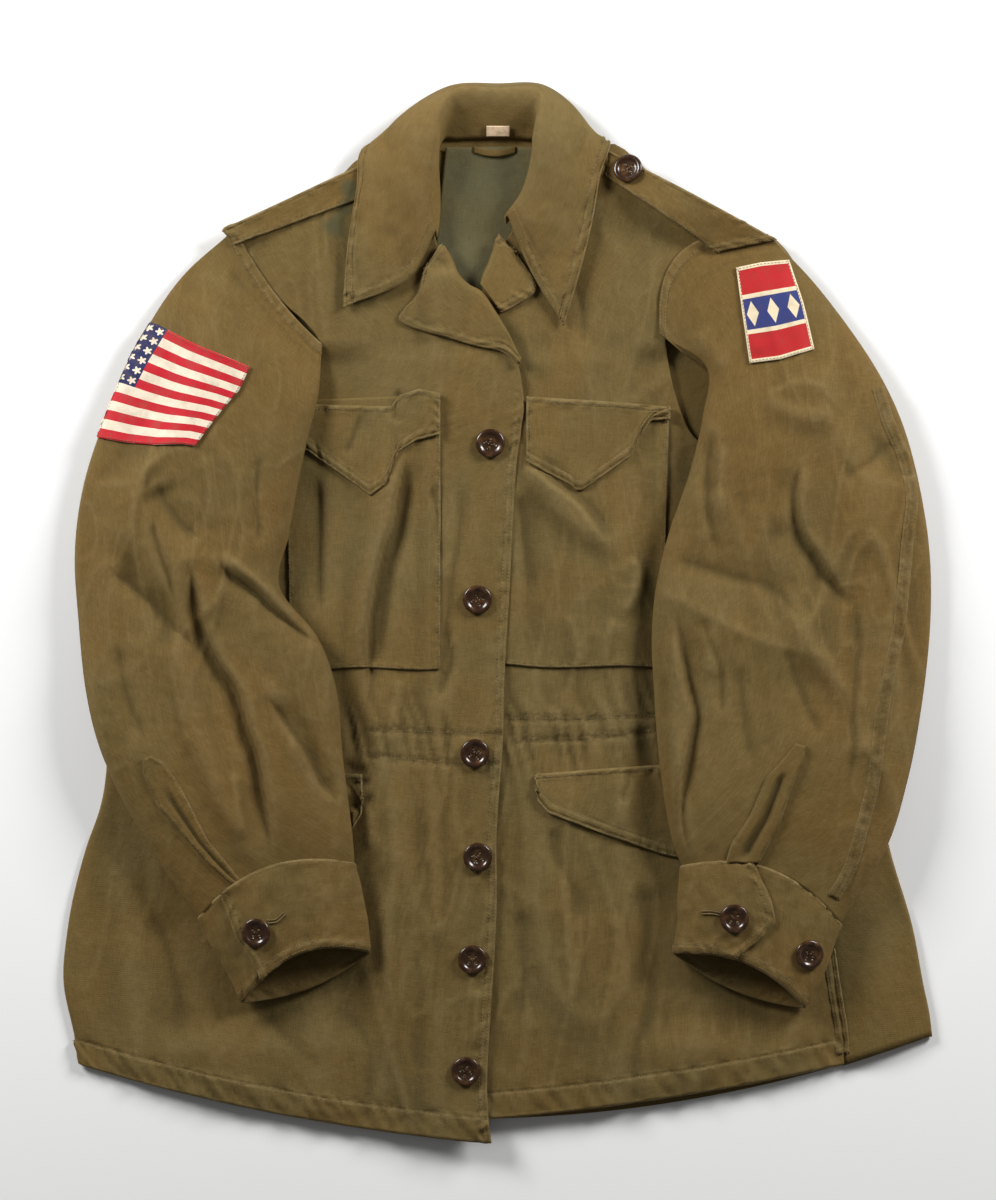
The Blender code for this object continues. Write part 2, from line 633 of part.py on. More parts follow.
def button_profile():
    """Half section of a button with a raised rim, from the middle of its face to its back."""
    r = BUTTON_RADIUS
    face = ((0, 2.0), (0.56 * r, 2.0), (0.7 * r, 3.0), (0.9 * r, 3.3))
    outline = (*face, (r, 2.2), (0.93 * r, 0.5), (0.7 * r, 0), (0, 0))
    mesh = bpy.data.meshes.new("button")
    points = [(x * MM, 0, z * MM) for x, z in outline]
    mesh.from_pydata(points, [(i, i + 1) for i in range(len(points) - 1)], [])
    return mesh


def strap_grid(corners, arch):
    """A shoulder strap between its collar end and its sleeve end, arched over the shoulder."""
    (ax, ay), (bx, by), (cx, cy), (dx, dy) = corners
    u = np.linspace(0, 1, 11)[:, None]
    w = np.linspace(0, 1, 4)[None, :]
    x = (ax * (1 - w) + bx * w) * (1 - u) + (dx * (1 - w) + cx * w) * u
    y = (ay * (1 - w) + by * w) * (1 - u) + (dy * (1 - w) + cy * w) * u
    base = laid_height(x, y) + STACK_GAP + DOUBLED + STRAP_END_LIFT * ramp(u, 0.6, 1)
    return np.stack([x, y, base + arch * np.sin(math.pi * u) ** 1.5], axis=-1)


def loop_grid():
    """The hanger loop, a short tape bowed off the lining under the neck seam."""
    u = np.linspace(0, 1, 9)[:, None]
    w = np.linspace(-1, 1, 3)[None, :]
    x = -19 + 33 * u + 0 * w
    y = 362 - 3 * np.sin(math.pi * u) + 2.6 * w
    z = back_height(x, y) + 4.6 + 1.8 * np.sin(math.pi * u)
    return np.stack([x, y, z + 0 * x], axis=-1)


def label_grid():
    """The bare neck label, standing on the inside of the collar's stand."""
    x, y = np.meshgrid(np.linspace(-9, 9, 4), np.linspace(372, 380, 3))
    return np.stack([x, y, 9.4 + 0.42 * (y - 372)], axis=-1)


def lining_grid():
    """The back's inner face where it shows in the open neck."""
    x, y = np.meshgrid(np.linspace(-54, 43, 9), np.linspace(242, 364, 9))
    x = x + (x + 4) * 0.26 * (242 - y) / 122
    return np.stack([x, y, back_height(x, y) + 2 * CLOTH + 0.8], axis=-1)


def build():
    """Model every piece of the jacket."""
    clear_scene()
    fabric = make_material("olive_sateen", FABRIC, 0.85)
    warm = make_material("olive_sateen_warm", WARM_FABRIC, 0.85)
    green = make_material("green_inner_face", LINING_GREEN, 0.9)
    horn = make_material("dark_button", (0.045, 0.024, 0.008), 0.3)
    thread = make_material("patch", (0.443, 0.02, 0.02), 0.8)
    cream = make_material("cream_label", (0.75, 0.61, 0.40), 0.8)

    jacket = Jacket()
    jacket.add_panel("back", back_grid(), fabric, flip=True)
    right_across = spaced(((0, 5), (0.586, 15), (0.955, 2), (1, 0)))
    jacket.add_panel(
        "front_right",
        panel_grid(RIGHT_FRONT, RIGHT_FRONT_COLUMNS, right_across, "side", "edge",
                   lambda x, y: front_height("front_right", x, y)),
        fabric,
    )
    left_across = spaced(((0, 3), (0.15, 14), (0.53, 5), (1, 0)))
    jacket.add_panel(
        "front_left",
        panel_grid(LEFT_FRONT, LEFT_FRONT_COLUMNS, left_across, "edge", "side",
                   lambda x, y: front_height("front_left", x, y)),
        fabric,
    )
    jacket.add_panel("back_lining", lining_grid(), green, CLOTH)
    jacket.add_panel("hanger_loop", loop_grid(), warm, PATCH, flip=True)
    jacket.add_panel("collar", collar_grid(), warm, DOUBLED, flip=True)

    def on_right(x, y):
        return front_height("front_right", x, y)

    def on_left(x, y):
        return front_height("front_left", x, y)

    jacket.add_panel("lapel_right", lapel_grid(RIGHT_LAPEL, on_right), warm, DOUBLED)
    jacket.add_panel("lapel_left", lapel_grid(LEFT_LAPEL, on_left), warm, DOUBLED)

    for side, sleeve, armhole, mirror in (
        ("right", RIGHT_SLEEVE, RIGHT_ARMHOLE, False),
        ("left", LEFT_SLEEVE, LEFT_ARMHOLE, True),
    ):
        fill = sections(sleeve, SLEEVE_COLUMNS)["fill"][:, None]
        upper = 0.5 - (0.5 + UPPER_WRAP * ramp(fill, 0.3, 0.9)) * np.linspace(1, 0, 17)
        under = np.linspace(0.52, 0.93, 9)
        piece = f"sleeve_{side}"
        over = tube_grid(sleeve, upper, 0, piece)
        beneath = under_sleeve_grid(sleeve, armhole, under, piece)
        jacket.add_panel(f"{piece}_upper", over, warm, flip=not mirror)
        jacket.add_panel(f"{piece}_under", beneath, warm, flip=not mirror)
    jacket.add_panel("cuff_right", cuff_grid(RIGHT_CUFF, 0.22, 0.15, 0.01), warm, DOUBLED)
    jacket.add_panel("cuff_left", cuff_grid(LEFT_CUFF, 0.33, 0.27, 0.05), warm, DOUBLED, flip=True)

    right_strap = strap_grid(STRAP_RIGHT, STRAP_RIGHT_ARCH)
    left_strap = strap_grid(STRAP_LEFT, STRAP_LEFT_ARCH)
    jacket.add_panel("shoulder_strap_right", right_strap, warm, DOUBLED)
    jacket.add_panel("shoulder_strap_left", left_strap, warm, DOUBLED, flip=True)

    gap = STACK_GAP
    over_pocket = 2 * STACK_GAP + CLOTH
    jacket.add_on_panel("chest_pocket_right", "front_right", CHEST_POCKET_RIGHT, gap, fabric)
    jacket.add_on_panel("chest_pocket_left", "front_left", CHEST_POCKET_LEFT, gap, fabric)
    jacket.add_on_panel("chest_flap_right", "front_right", CHEST_FLAP_RIGHT, over_pocket, fabric, DOUBLED)
    jacket.add_on_panel("chest_flap_left", "front_left", CHEST_FLAP_LEFT, over_pocket, fabric, DOUBLED)
    jacket.add_on_panel("hip_flap_right", "front_right", HIP_FLAP_RIGHT, gap, fabric, DOUBLED)
    jacket.add_on_panel("hip_flap_left", "front_left", HIP_FLAP_LEFT, gap, fabric, DOUBLED)
    jacket.add_on_panel("flag_patch", "sleeve_right_upper", FLAG_PATCH, gap, thread, PATCH)
    jacket.add_on_panel("sleeve_badge", "sleeve_left_upper", SLEEVE_BADGE, BADGE_GAP, thread, PATCH)

    jacket.add_panel("neck_label", label_grid(), cream, PATCH)

    profile = button_profile()
    for name, x, y, carrier in BUTTONS:
        jacket.add_button(name, x, y, carrier, profile, horn)


build()
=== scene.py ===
"""Looks of a worn cotton field jacket that lies flat, face up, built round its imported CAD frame.

The frame is in metres: +Y runs from the hem to the collar, +X to the viewer's right and +Z up off
the table. "Right" and "left" are the wearer's, so the right side of the jacket is at -X. Sizes in
this file are millimetres, and become metres when a mesh is made.
"""

from __future__ import annotations

import logging
import math
from collections.abc import Callable, Iterable, Sequence
from dataclasses import dataclass, field
from enum import Enum
from typing import Any

import bmesh
import bpy
import numpy as np
from mathutils import Matrix, Vector
from mathutils.bvhtree import BVHTree

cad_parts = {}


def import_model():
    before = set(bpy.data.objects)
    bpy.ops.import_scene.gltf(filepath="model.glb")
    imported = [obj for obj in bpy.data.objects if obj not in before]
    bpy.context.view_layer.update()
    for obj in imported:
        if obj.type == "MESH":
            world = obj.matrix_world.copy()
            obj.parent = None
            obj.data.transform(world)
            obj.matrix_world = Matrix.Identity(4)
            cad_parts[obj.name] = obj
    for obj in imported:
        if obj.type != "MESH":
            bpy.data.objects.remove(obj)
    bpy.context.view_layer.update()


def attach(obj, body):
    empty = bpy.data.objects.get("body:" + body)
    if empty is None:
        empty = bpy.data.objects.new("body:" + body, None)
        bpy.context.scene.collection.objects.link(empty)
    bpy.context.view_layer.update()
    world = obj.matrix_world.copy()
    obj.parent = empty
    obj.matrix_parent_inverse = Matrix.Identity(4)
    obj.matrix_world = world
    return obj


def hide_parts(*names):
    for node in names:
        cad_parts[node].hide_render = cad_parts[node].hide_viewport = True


Array = np.ndarray
Colour = tuple[float, float, float]
Spot = tuple[float, float]
Outline = tuple[Spot, ...]
Line3 = tuple[Array, Array]
Material = bpy.types.Material
Object = bpy.types.Object

MM = 0.001
LOG = logging.getLogger("field_jacket")


# ---- numbers and lines


def ramp(value: Array, low: float, high: float) -> Array:
    """Smooth step of a value, from 0 at low to 1 at high."""
    t = np.clip((np.asarray(value, float) - low) / (high - low), 0, 1)
    return t * t * (3 - 2 * t)


def curve_through(rows: Sequence[Any], at: Array) -> Array:
    """Follow a smooth curve through the rows of a table.

    Args:
        rows: The table, one point or section a row.
        at: Positions along it, in rows.

    Returns:
        The table's values at those positions.
    """
    rows = np.asarray(rows, float)
    step = np.linalg.norm(np.diff(rows, axis=0), axis=1)
    knots = np.concatenate([[0], np.cumsum(np.maximum(step, 1e-6))])
    slopes = np.gradient(rows, knots, axis=0)
    at = np.asarray(at, float)
    i = np.clip(at.astype(int), 0, len(rows) - 2)
    width = (knots[i + 1] - knots[i])[:, None]
    t = (at - i)[:, None]
    return (
        (1 + 2 * t) * (1 - t) ** 2 * rows[i]
        + t * (1 - t) ** 2 * width * slopes[i]
        + t * t * (3 - 2 * t) * rows[i + 1]
        - t * t * (1 - t) * width * slopes[i + 1]
    )


def soft_noise(x: Array, y: Array, scale: float, seed: int) -> Array:
    """Smooth random hills, the same on every run.

    Args:
        x: First coordinate.
        y: Second coordinate.
        scale: Distance between hills, in the unit of x and y.
        seed: Which set of hills.

    Returns:
        Heights from -1 to 1.
    """
    size = 64
    table = np.random.default_rng(seed).uniform(-1, 1, (size, size))
    gx, gy = np.asarray(x, float) / scale + 3 * size, np.asarray(y, float) / scale + 3 * size
    ix, iy = np.floor(gx).astype(int), np.floor(gy).astype(int)
    fx, fy = gx - ix, gy - iy
    fx, fy = fx * fx * (3 - 2 * fx), fy * fy * (3 - 2 * fy)
    near = table[ix % size, iy % size] * (1 - fx) + table[(ix + 1) % size, iy % size] * fx
    far = table[ix % size, (iy + 1) % size] * (1 - fx) + table[(ix + 1) % size, (iy + 1) % size] * fx
    return near * (1 - fy) + far * fy


def run_along(points: Array) -> Array:
    """Distance of each point of a line from its first one, along the line."""
    return np.concatenate([[0], np.cumsum(np.linalg.norm(np.diff(points, axis=0), axis=1))])


def graded(*stretches: tuple[float, float, int]) -> Array:
    """Numbers through stretches of a start, an end and a count, of which the last keeps its end."""
    last = len(stretches) - 1
    return np.concatenate([np.linspace(*s, endpoint=k == last) for k, s in enumerate(stretches)])


class Path:
    """A smooth line in plan, which can tell how far points lie from it."""

    def __init__(self, points: Sequence[Spot], step: float = 3.0) -> None:
        """Lay a smooth line through a few spots, with a point every step."""
        rows = np.asarray(points, float)
        length = np.linalg.norm(np.diff(rows, axis=0), axis=1).sum()
        count = max(4, int(length / step))
        self.points = curve_through(rows, np.linspace(0, len(rows) - 1, 8 * count))
        run = run_along(self.points)
        even = np.linspace(0, run[-1], count + 1)
        self.points = np.stack([np.interp(even, run, self.points[:, k]) for k in (0, 1)], -1)
        self.length = float(run[-1])

    def across(self) -> Array:
        """Unit vectors to the left of the line at each of its points."""
        ahead = np.gradient(self.points, axis=0)
        ahead /= np.linalg.norm(ahead, axis=1, keepdims=True)
        return np.stack([-ahead[:, 1], ahead[:, 0]], -1)

    def measure(self, x: Array, y: Array, reach: float) -> tuple[Array, Array]:
        """Find how far points lie from the line.

        Args:
            x: Where the points are.
            y: Where the points are.
            reach: Distance past which a point isn't looked at.

        Returns:
            Signed distance, positive to the left of the line and huge out of reach, and the
            share of the line's length at the nearest spot.
        """
        away, share = np.full(x.shape, 1e6), np.zeros(x.shape)
        low, high = self.points.min(0) - reach, self.points.max(0) + reach
        near = (x > low[0]) & (x < high[0]) & (y > low[1]) & (y < high[1])
        if not near.any():
            return away, share
        spots = np.stack([x[near], y[near]], -1)
        start, along = self.points[:-1], np.diff(self.points, axis=0)
        rel = spots[:, None] - start[None]
        t = np.clip((rel * along).sum(-1) / (along**2).sum(-1), 0, 1)
        off = rel - t[..., None] * along
        nearest = (off**2).sum(-1).argmin(1)
        pick = np.arange(len(spots))
        off, t, line = off[pick, nearest], t[pick, nearest], along[nearest]
        side = np.sign(line[:, 0] * off[:, 1] - line[:, 1] * off[:, 0])
        away[near] = np.hypot(off[:, 0], off[:, 1]) * np.where(side == 0, 1, side)
        share[near] = (nearest + t) / len(along)
        return away, share


@dataclass(frozen=True)
class Crease:
    """A soft ridge, or a trough where its height is negative, along a line in plan."""

    height: float
    left: float
    right: float
    line: Outline

    def lift(self, x: Array, y: Array) -> Array:
        """Height that the crease adds at the points (x, y)."""
        away, share = Path(self.line).measure(x, y, 3 * max(self.left, self.right))
        width = np.where(away > 0, self.left, self.right) * 0.9
        taper = ramp(share, 0, 0.2) * (1 - ramp(share, 0.76, 1))
        return self.height * taper * np.exp(-np.abs(away / width) ** 1.12)


def crumple(x: Array, y: Array, seed: int) -> Array:
    """Small uneven ridges of worn cloth, about 1 high, at the points (x, y)."""
    total = np.zeros_like(x)
    for scale, share, slant in ((58, 1.0, 0.5), (31, 0.55, -0.4), (17, 0.3, 0.25)):
        u, v = x + slant * y, 0.62 * (y - slant * x)
        ridge = 1 - np.abs(soft_noise(u, v, scale, seed + int(scale))) * 2.4
        total += share * np.maximum(ridge, 0) ** 2 * (0.6 + 0.6 * soft_noise(x, y, 90, seed + 7))
    return total


def creases(*rows: Sequence[float]) -> tuple[Crease, ...]:
    """Creases from rows of a height, two half widths, and x and y of each spot in turn."""
    return tuple(Crease(*row[:3], tuple(zip(row[3::2], row[4::2]))) for row in rows)


def creases_lift(lines: Iterable[Crease], x: Array, y: Array) -> Array:
    """Heights of several creases at the points (x, y), which don't pile up where they cross."""
    total, high, low = np.zeros_like(x), np.zeros_like(x), np.zeros_like(x)
    for crease in lines:
        lift = crease.lift(x, y)
        total, high, low = total + lift, np.maximum(high, lift), np.minimum(low, lift)
    return 0.3 * total + 0.7 * (high + low)


# ---- cloth meshes


class Side(Enum):
    """A side of a cloth grid."""

    FIRST_COLUMN = "first column"
    LAST_COLUMN = "last column"
    FIRST_ROW = "first row"
    LAST_ROW = "last row"


LONG_SIDES = (Side.FIRST_COLUMN, Side.LAST_COLUMN)


@dataclass(frozen=True)
class StitchedEdge:
    """A turned cloth edge that rows of stitching hold down."""

    rows: tuple[float, ...] = (1.8, 6.6)
    fold: float = 0.6
    groove: float = 0.75
    roll: float = 1.6
    drop: float = 1.2
    pucker: float = 0.95

    def lift(self, inset: Array, along: Array, seed: int) -> Array:
        """Relief of the edge.

        Args:
            inset: Distance from the edge.
            along: Distance along the edge.
            seed: Which run of puckers.

        Returns:
            Height to add at each point.
        """
        last = max(self.rows) if self.rows else self.roll
        rounded = np.clip(1 - inset / self.roll, 0, 1)
        out = self.fold * (1 - ramp(inset, last, last + 2.6))
        out = out - self.drop * (1 - np.sqrt(1 - rounded**2))
        for row in self.rows:
            out = out - self.groove * np.exp(-(((inset - row) / 0.9) ** 2))
        slant = along + 0.5 * inset
        waves = soft_noise(slant, inset * 0.25, 4.2, seed) + 0.5 * soft_noise(along, inset, 11, seed + 1)
        reach = np.exp(-((np.maximum(inset - last, 0) / 3.5) ** 2))
        return out + self.pucker * waves * reach * ramp(inset, 0.2, 2)

    def wear(self, inset: Array, along: Array, seed: int) -> Array:
        """How much the edge is worn pale, from 0 to 1, at each point."""
        broad = soft_noise(along, inset * 0.2, 14, seed + 2)
        fine = soft_noise(along + 0.5 * inset, inset * 0.3, 4.2, seed)
        patchy = 0.6 + 0.25 * broad + 0.5 * fine
        out = 0.85 * np.exp(-((inset / 1.3) ** 2))
        for row in self.rows:
            out = out + 0.5 * np.exp(-(((inset - row + 1.4) / 1.5) ** 2))
            out = out - 0.3 * np.exp(-(((inset - row) / 0.8) ** 2))
        return np.clip(out * patchy, 0, 1)


class ClothGrid:
    """Rows of points on the outer face of a cloth piece, with its marks of wear, painted highlight and
    painted shade.
    """

    def __init__(self, points: Array) -> None:
        """Take the points, in rows and columns, in millimetres."""
        self.points = np.array(points, float)
        shape = self.points.shape[:2]
        # The deep mark is painted shade; the wear mark holds wear and painted highlight on crests.
        self.marks = {name: np.zeros(shape) for name in ("wear", "deep", "stain", "seam")}
        self.stitch_lines: list[Line3] = []

    def run(self, side: Side) -> Array:
        """Distance of each point from a side, along its row or column."""
        axis = 1 if side in LONG_SIDES else 0
        step = np.linalg.norm(np.diff(self.points, axis=axis), axis=-1)
        pad = [(1, 0), (0, 0)] if axis == 0 else [(0, 0), (1, 0)]
        run = np.cumsum(np.pad(step, pad), axis=axis)
        if side is Side.LAST_COLUMN:
            return run[:, -1:] - run
        if side is Side.LAST_ROW:
            return run[-1:] - run
        return run

    def normals(self) -> Array:
        """Unit normals of the grid, to the left of its rows seen along its columns."""
        across = np.gradient(self.points, axis=1)
        along = np.gradient(self.points, axis=0)
        normal = np.cross(across, along)
        return normal / np.maximum(np.linalg.norm(normal, axis=-1, keepdims=True), 1e-9)

    def faces_down(self) -> bool:
        """Whether the normals point down on the whole."""
        return bool(self.normals()[..., 2].mean() < 0)

    def push(self, height: Array, flip: bool = False) -> None:
        """Move the points outwards by a height each, against the normals where flip is set."""
        self.points = self.points + self.normals() * (height * (-1.0 if flip else 1.0))[..., None]

    def line_at(self, side: Side, inset: float, start: float = 0.0, end: float = 1.0) -> Line3:
        """Find a line at an inset from a side.

        Args:
            side: The side that the line follows.
            inset: How far in from it the line runs.
            start: Share of the side where the line starts.
            end: Share of the side where it ends.

        Returns:
            The line's points and normals.
        """
        run, points, normals = self.run(side), self.points, self.normals()
        if side in (Side.FIRST_ROW, Side.LAST_ROW):
            run, points, normals = run.T, points.transpose(1, 0, 2), normals.transpose(1, 0, 2)
        order = slice(None, None, -1) if side in (Side.LAST_COLUMN, Side.LAST_ROW) else slice(None)
        first, last = int(start * (len(run) - 1)), int(end * (len(run) - 1)) + 1
        lines = [
            [np.interp(inset, run[k][order], values[k][order, axis]) for axis in range(3)]
            for values in (points, normals)
            for k in range(first, last)
        ]
        both = np.array(lines).reshape(2, -1, 3)
        return both[0], both[1]

    def finish_edge(
        self,
        side: Side,
        edge: StitchedEdge,
        seed: int,
        flip: bool = False,
        span: Spot = (0.0, 1.0),
    ) -> None:
        """Turn and top-stitch one side of the piece.

        Args:
            side: The side that is turned.
            edge: How it is turned and stitched.
            seed: Which run of puckers it has.
            flip: Whether the grid's normals point inwards.
            span: Shares of the side between which it is done.
        """
        other = Side.FIRST_ROW if side in LONG_SIDES else Side.FIRST_COLUMN
        inset, along = self.run(side), self.run(other)
        share = along / np.maximum(along.max(), 1e-6)
        inside = ramp(share, span[0] - 0.012, span[0]) * (1 - ramp(share, span[1], span[1] + 0.012))
        wear = edge.wear(inset, along, seed) * inside
        self.push(edge.lift(inset, along, seed) * inside, flip)
        self.marks["wear"] = np.maximum(self.marks["wear"], wear)
        bands = [np.exp(-(((inset - row + 0.8) / 2.8) ** 2)) for row in edge.rows]
        seam = inside * max(bands, key=np.sum)
        self.marks["seam"] = np.maximum(self.marks["seam"], seam)
        for row in edge.rows:
            points, normals = self.line_at(side, row, *span)
            self.stitch_lines.append((points, -normals if flip else normals))

    def mark_forms(self) -> None:
        """Pale the ridges, as wear and painted highlight, and darken the hollows with painted shade, from
        the shape of the cloth.
        """
        z = self.points[..., 2]
        wide = z.copy()
        worn_and_lit, deep = np.zeros_like(z), np.zeros_like(z)
        done = 0
        # Each pass pales the crests, as wear and painted highlight, and marks the hollows deep, as painted
        # shade; the broad pass paints the light and shade of the large folds.
        for reach, paler, darker in ((3, 0.9, 1.5), (22, 0.11, 0.26)):
            for _ in range(reach - done):
                for axis in (0, 1):
                    wide = (np.roll(wide, 1, axis) + np.roll(wide, -1, axis) + 2 * wide) / 4
            done = reach
            hill = z - wide
            rim = min(reach, 8)
            hill[:rim], hill[-rim:], hill[:, :rim], hill[:, -rim:] = 0, 0, 0, 0
            worn_and_lit = worn_and_lit + np.clip(hill * paler, 0, 0.16)
            deep = deep + np.clip(-hill * darker, 0, 0.34)
        self.marks["wear"] = np.maximum(self.marks["wear"], worn_and_lit)
        self.marks["deep"] = np.maximum(self.marks["deep"], deep)

    def faces(self, flip: bool) -> Array:
        """Corner numbers of the grid's quads."""
        rows, columns = self.points.shape[:2]
        number = np.arange(rows * columns).reshape(rows, columns)
        a, b, c, d = number[:-1, :-1], number[:-1, 1:], number[1:, 1:], number[1:, :-1]
        order = (a, d, c, b) if flip else (a, b, c, d)
        return np.stack([part.ravel() for part in order], -1)

    def mesh(self, name: str, flip: bool, cloth: Array | None = None) -> bpy.types.Mesh:
        """Make the grid's mesh.

        Args:
            name: The mesh's name.
            flip: Whether the faces look the other way.
            cloth: Flat coordinates in metres for each point, or None for distances along the
                rows and columns.

        Returns:
            A smooth mesh in metres with a map named cloth and the marks as attributes.
        """
        faces = self.faces(flip)
        mesh = bpy.data.meshes.new(name)
        rested = np.maximum(self.points, (-math.inf, -math.inf, 0.05))
        mesh.from_pydata((rested.reshape(-1, 3) * MM).tolist(), [], faces.tolist())
        if cloth is None:
            run = [self.run(side) * MM for side in (Side.FIRST_COLUMN, Side.FIRST_ROW)]
            cloth = np.stack(run, -1)
        flat = mesh.uv_layers.new(name="cloth")
        flat.data.foreach_set("uv", cloth.reshape(-1, 2)[faces.ravel()].astype(np.float32).ravel())
        for mark, values in self.marks.items():
            attribute = mesh.attributes.new(mark, "FLOAT", "POINT")
            attribute.data.foreach_set("value", np.clip(values, 0, 1).astype(np.float32).ravel())
        mesh.shade_smooth()
        return mesh


class Surface:
    """The outer faces of finished pieces, which others are laid on."""

    def __init__(self, *grids: ClothGrid) -> None:
        """Gather the grids that carry something."""
        points: list[Vector] = []
        faces: list[list[int]] = []
        for grid in grids:
            first = len(points)
            points += [Vector(p) for p in grid.points.reshape(-1, 3)]
            faces += (grid.faces(False) + first).tolist()
        self.tree = BVHTree.FromPolygons(points, faces)

    def drop(self, x: Array, y: Array) -> tuple[Array, Array]:
        """Drop points from above.

        Args:
            x: Where they fall.
            y: Where they fall.

        Returns:
            Where they land and the upward normals there. A point beside the surface goes to
            the nearest spot on it.
        """
        places, normals = np.zeros((*x.shape, 3)), np.zeros((*x.shape, 3))
        for at in np.ndindex(x.shape):
            hit, normal, *_ = self.tree.ray_cast(Vector((x[at], y[at], 200)), Vector((0, 0, -1)))
            if hit is None:
                hit, normal, *_ = self.tree.find_nearest(Vector((x[at], y[at], 12)))
            places[at] = hit
            normals[at] = normal if normal.z >= 0 else -normal
        return places, normals


def across_fractions(width: Array, start_zone: float, end_zone: float, fine: float, step: float) -> Array:
    """Share out columns over rows of several widths, fine at the edges and even between.

    Args:
        width: Width of each row.
        start_zone: How wide the fine part at the start is.
        end_zone: How wide the fine part at the end is.
        fine: Step between columns there.
        step: Step between the other columns.

    Returns:
        Fractions from 0 to 1, a row each.
    """
    width = width[:, None]
    count = max(2, int((width.max() - start_zone - end_zone) / step))
    start = np.linspace(0, start_zone, int(start_zone / fine), endpoint=False)[None]
    middle = np.linspace(0, 1, count, endpoint=False)[None]
    end = np.linspace(0, end_zone, int(end_zone / fine) + 1)[None]
    between = start_zone + middle * (width - start_zone - end_zone)
    return np.concatenate([start + 0 * width, between, width - end_zone + end], axis=1) / width


def stations(table: Sequence[Any], step: float, zone: float = 0.0, fine: float = 1.0) -> Array:
    """Positions along a table's sections, evenly spaced in millimetres.

    Args:
        table: The sections, whose first four columns are two points.
        step: Distance between positions.
        zone: Length of a finer part at the start.
        fine: Distance between positions there.

    Returns:
        Positions in rows of the table.
    """
    rows = np.array([row[:4] for row in table], float)
    middle = np.stack([rows[:, 0] + rows[:, 2], rows[:, 1] + rows[:, 3]], -1) / 2
    run = run_along(middle)
    first = np.arange(0, zone, fine) if zone else np.zeros(0)
    rest = np.linspace(zone, run[-1], int((run[-1] - zone) / step) + 1)
    return np.interp(np.concatenate([first, rest]), run, np.arange(len(run)))


# ---- how the jacket lies


@dataclass(frozen=True)
class Lay:
    """How high each layer of the jacket lies off the table, with its broad folds."""

    side: float = 4.4
    middle: float = 10.4
    shoulder: float = 9.2
    skirt_lift: float = 3.4
    overlap_lift: float = 4.0
    neck_lift: float = 3.2
    sleeve_support: float = 10.4
    gather_height: float = 3.6
    gather_reach: float = 30.0
    right_slope: Spot = (-122, -82)
    left_slope: Spot = (92, 124)
    skirt_right: Spot = (-325, -250)
    skirt_left: Spot = (210, 265)
    skirt_hem: Spot = (-345, -310)
    yoke: Spot = (196, 214)

    def body(self, x: Array, y: Array) -> Array:
        """Outer face of the fronts, without folds, at the points (x, y)."""
        between = ramp(x, *self.right_slope) * (1 - ramp(x, *self.left_slope))
        height = self.side + (self.middle - self.side) * between
        skirt = ramp(x, *self.skirt_right) * (1 - ramp(x, *self.skirt_left))
        skirt = skirt * (1 - ramp(y, *self.skirt_hem))
        height = np.maximum(height, self.side + self.skirt_lift * skirt)
        return height + (self.shoulder - height) * ramp(y, *self.yoke)

    def gathers(self, piece: str, x: Array, y: Array) -> Array:
        """Short ridges that the waist drawstring draws up on a front.

        Args:
            piece: The front's name.
            x: Where the height is asked.
            y: Where the height is asked.

        Returns:
            Height at each point.
        """
        first, last, line, count = GATHERS[piece]
        pitch = (last - first) / (count - 1)
        inside = ramp(x, first - pitch, first) * (1 - ramp(x, last, last + pitch / 2))
        sway = 3.0 * soft_noise(y, x * 0, 17, 5) + 6.0 * soft_noise(x, y * 0.15, 26, 6)
        wave = 1 - 2.6 * np.abs(soft_noise(x + sway + 0.2 * (y - line), y * 0.16, 0.72 * pitch, 19))
        uneven = 0.75 + 0.6 * soft_noise(x, y * 0.4, pitch, 17)
        reach = np.exp(-(((y - line) / self.gather_reach) ** 2))
        return self.gather_height * 0.5 * wave * inside * reach * uneven

    def front(self, piece: str, x: Array, y: Array) -> Array:
        """Outer face of one front with its folds and the lap of the right front on the left.

        Args:
            piece: The front's name.
            x: Where the height is asked.
            y: Where the height is asked.

        Returns:
            Height at each point.
        """
        edges = 1 - ramp(x, -52, -38) * (1 - ramp(x, 12, 24))
        height = self.body(x, y) + self.gathers(piece, x, y)
        height = height + fold_height(piece, x, y) * edges
        height = height + 1.15 * creases_lift(CREASES.get(piece, ()), x, y)
        height = height + 0.5 * soft_noise(x, y * 0.6, 30, 21) + 0.2 * soft_noise(x, y * 0.7, 13, 22)
        height = height + 1.5 * crumple(x * 1.15, y * 0.62, 23)
        if piece == "front_right":
            height = height + self.overlap_lift * ramp(x, -64, -44) * (1 - ramp(y, 262, 275))
        return height

    def back(self, x: Array, y: Array) -> Array:
        """Outer face of the back, lifted near the neck, at the points (x, y)."""
        return self.neck_lift * ramp(y, 262, 340) * (1 - ramp(np.abs(x), 104, 140))

    def under_sleeve(self, x: Array, y: Array) -> Array:
        """Height of what a sleeve lies on, at the points (x, y)."""
        rows = np.array([(r[1], r[0], r[2]) for r in BACK])
        right = np.interp(y, rows[:, 0], rows[:, 1])
        left = np.interp(y, rows[:, 0], rows[:, 2])
        beyond = np.where(x < 0, right - x, x - left)
        return self.sleeve_support * (1 - ramp(beyond, 2, 42)) + 0.3


LAY = Lay()


def fold_height(piece: str, x: Array, y: Array) -> Array:
    """Sum of the broad folds of a piece.

    Args:
        piece: The piece's name.
        x: Where the height is asked.
        y: Where the height is asked.

    Returns:
        Height at each point.
    """
    total = np.zeros_like(x)
    for x0, y0, x1, y1, bend, width, height in FOLDS.get(piece, ()):
        along = np.array([x1 - x0, y1 - y0], float)
        length = np.hypot(*along)
        along /= length
        s = np.clip(((x - x0) * along[0] + (y - y0) * along[1]) / length, -0.3, 1.3)
        across = (x - x0) * -along[1] + (y - y0) * along[0] - bend * 4 * s * (1 - s)
        taper = ramp(s, -0.12, 0.22) * (1 - ramp(s, 0.78, 1.12))
        total += height * taper * np.exp(-((across / width) ** 2))
    return total


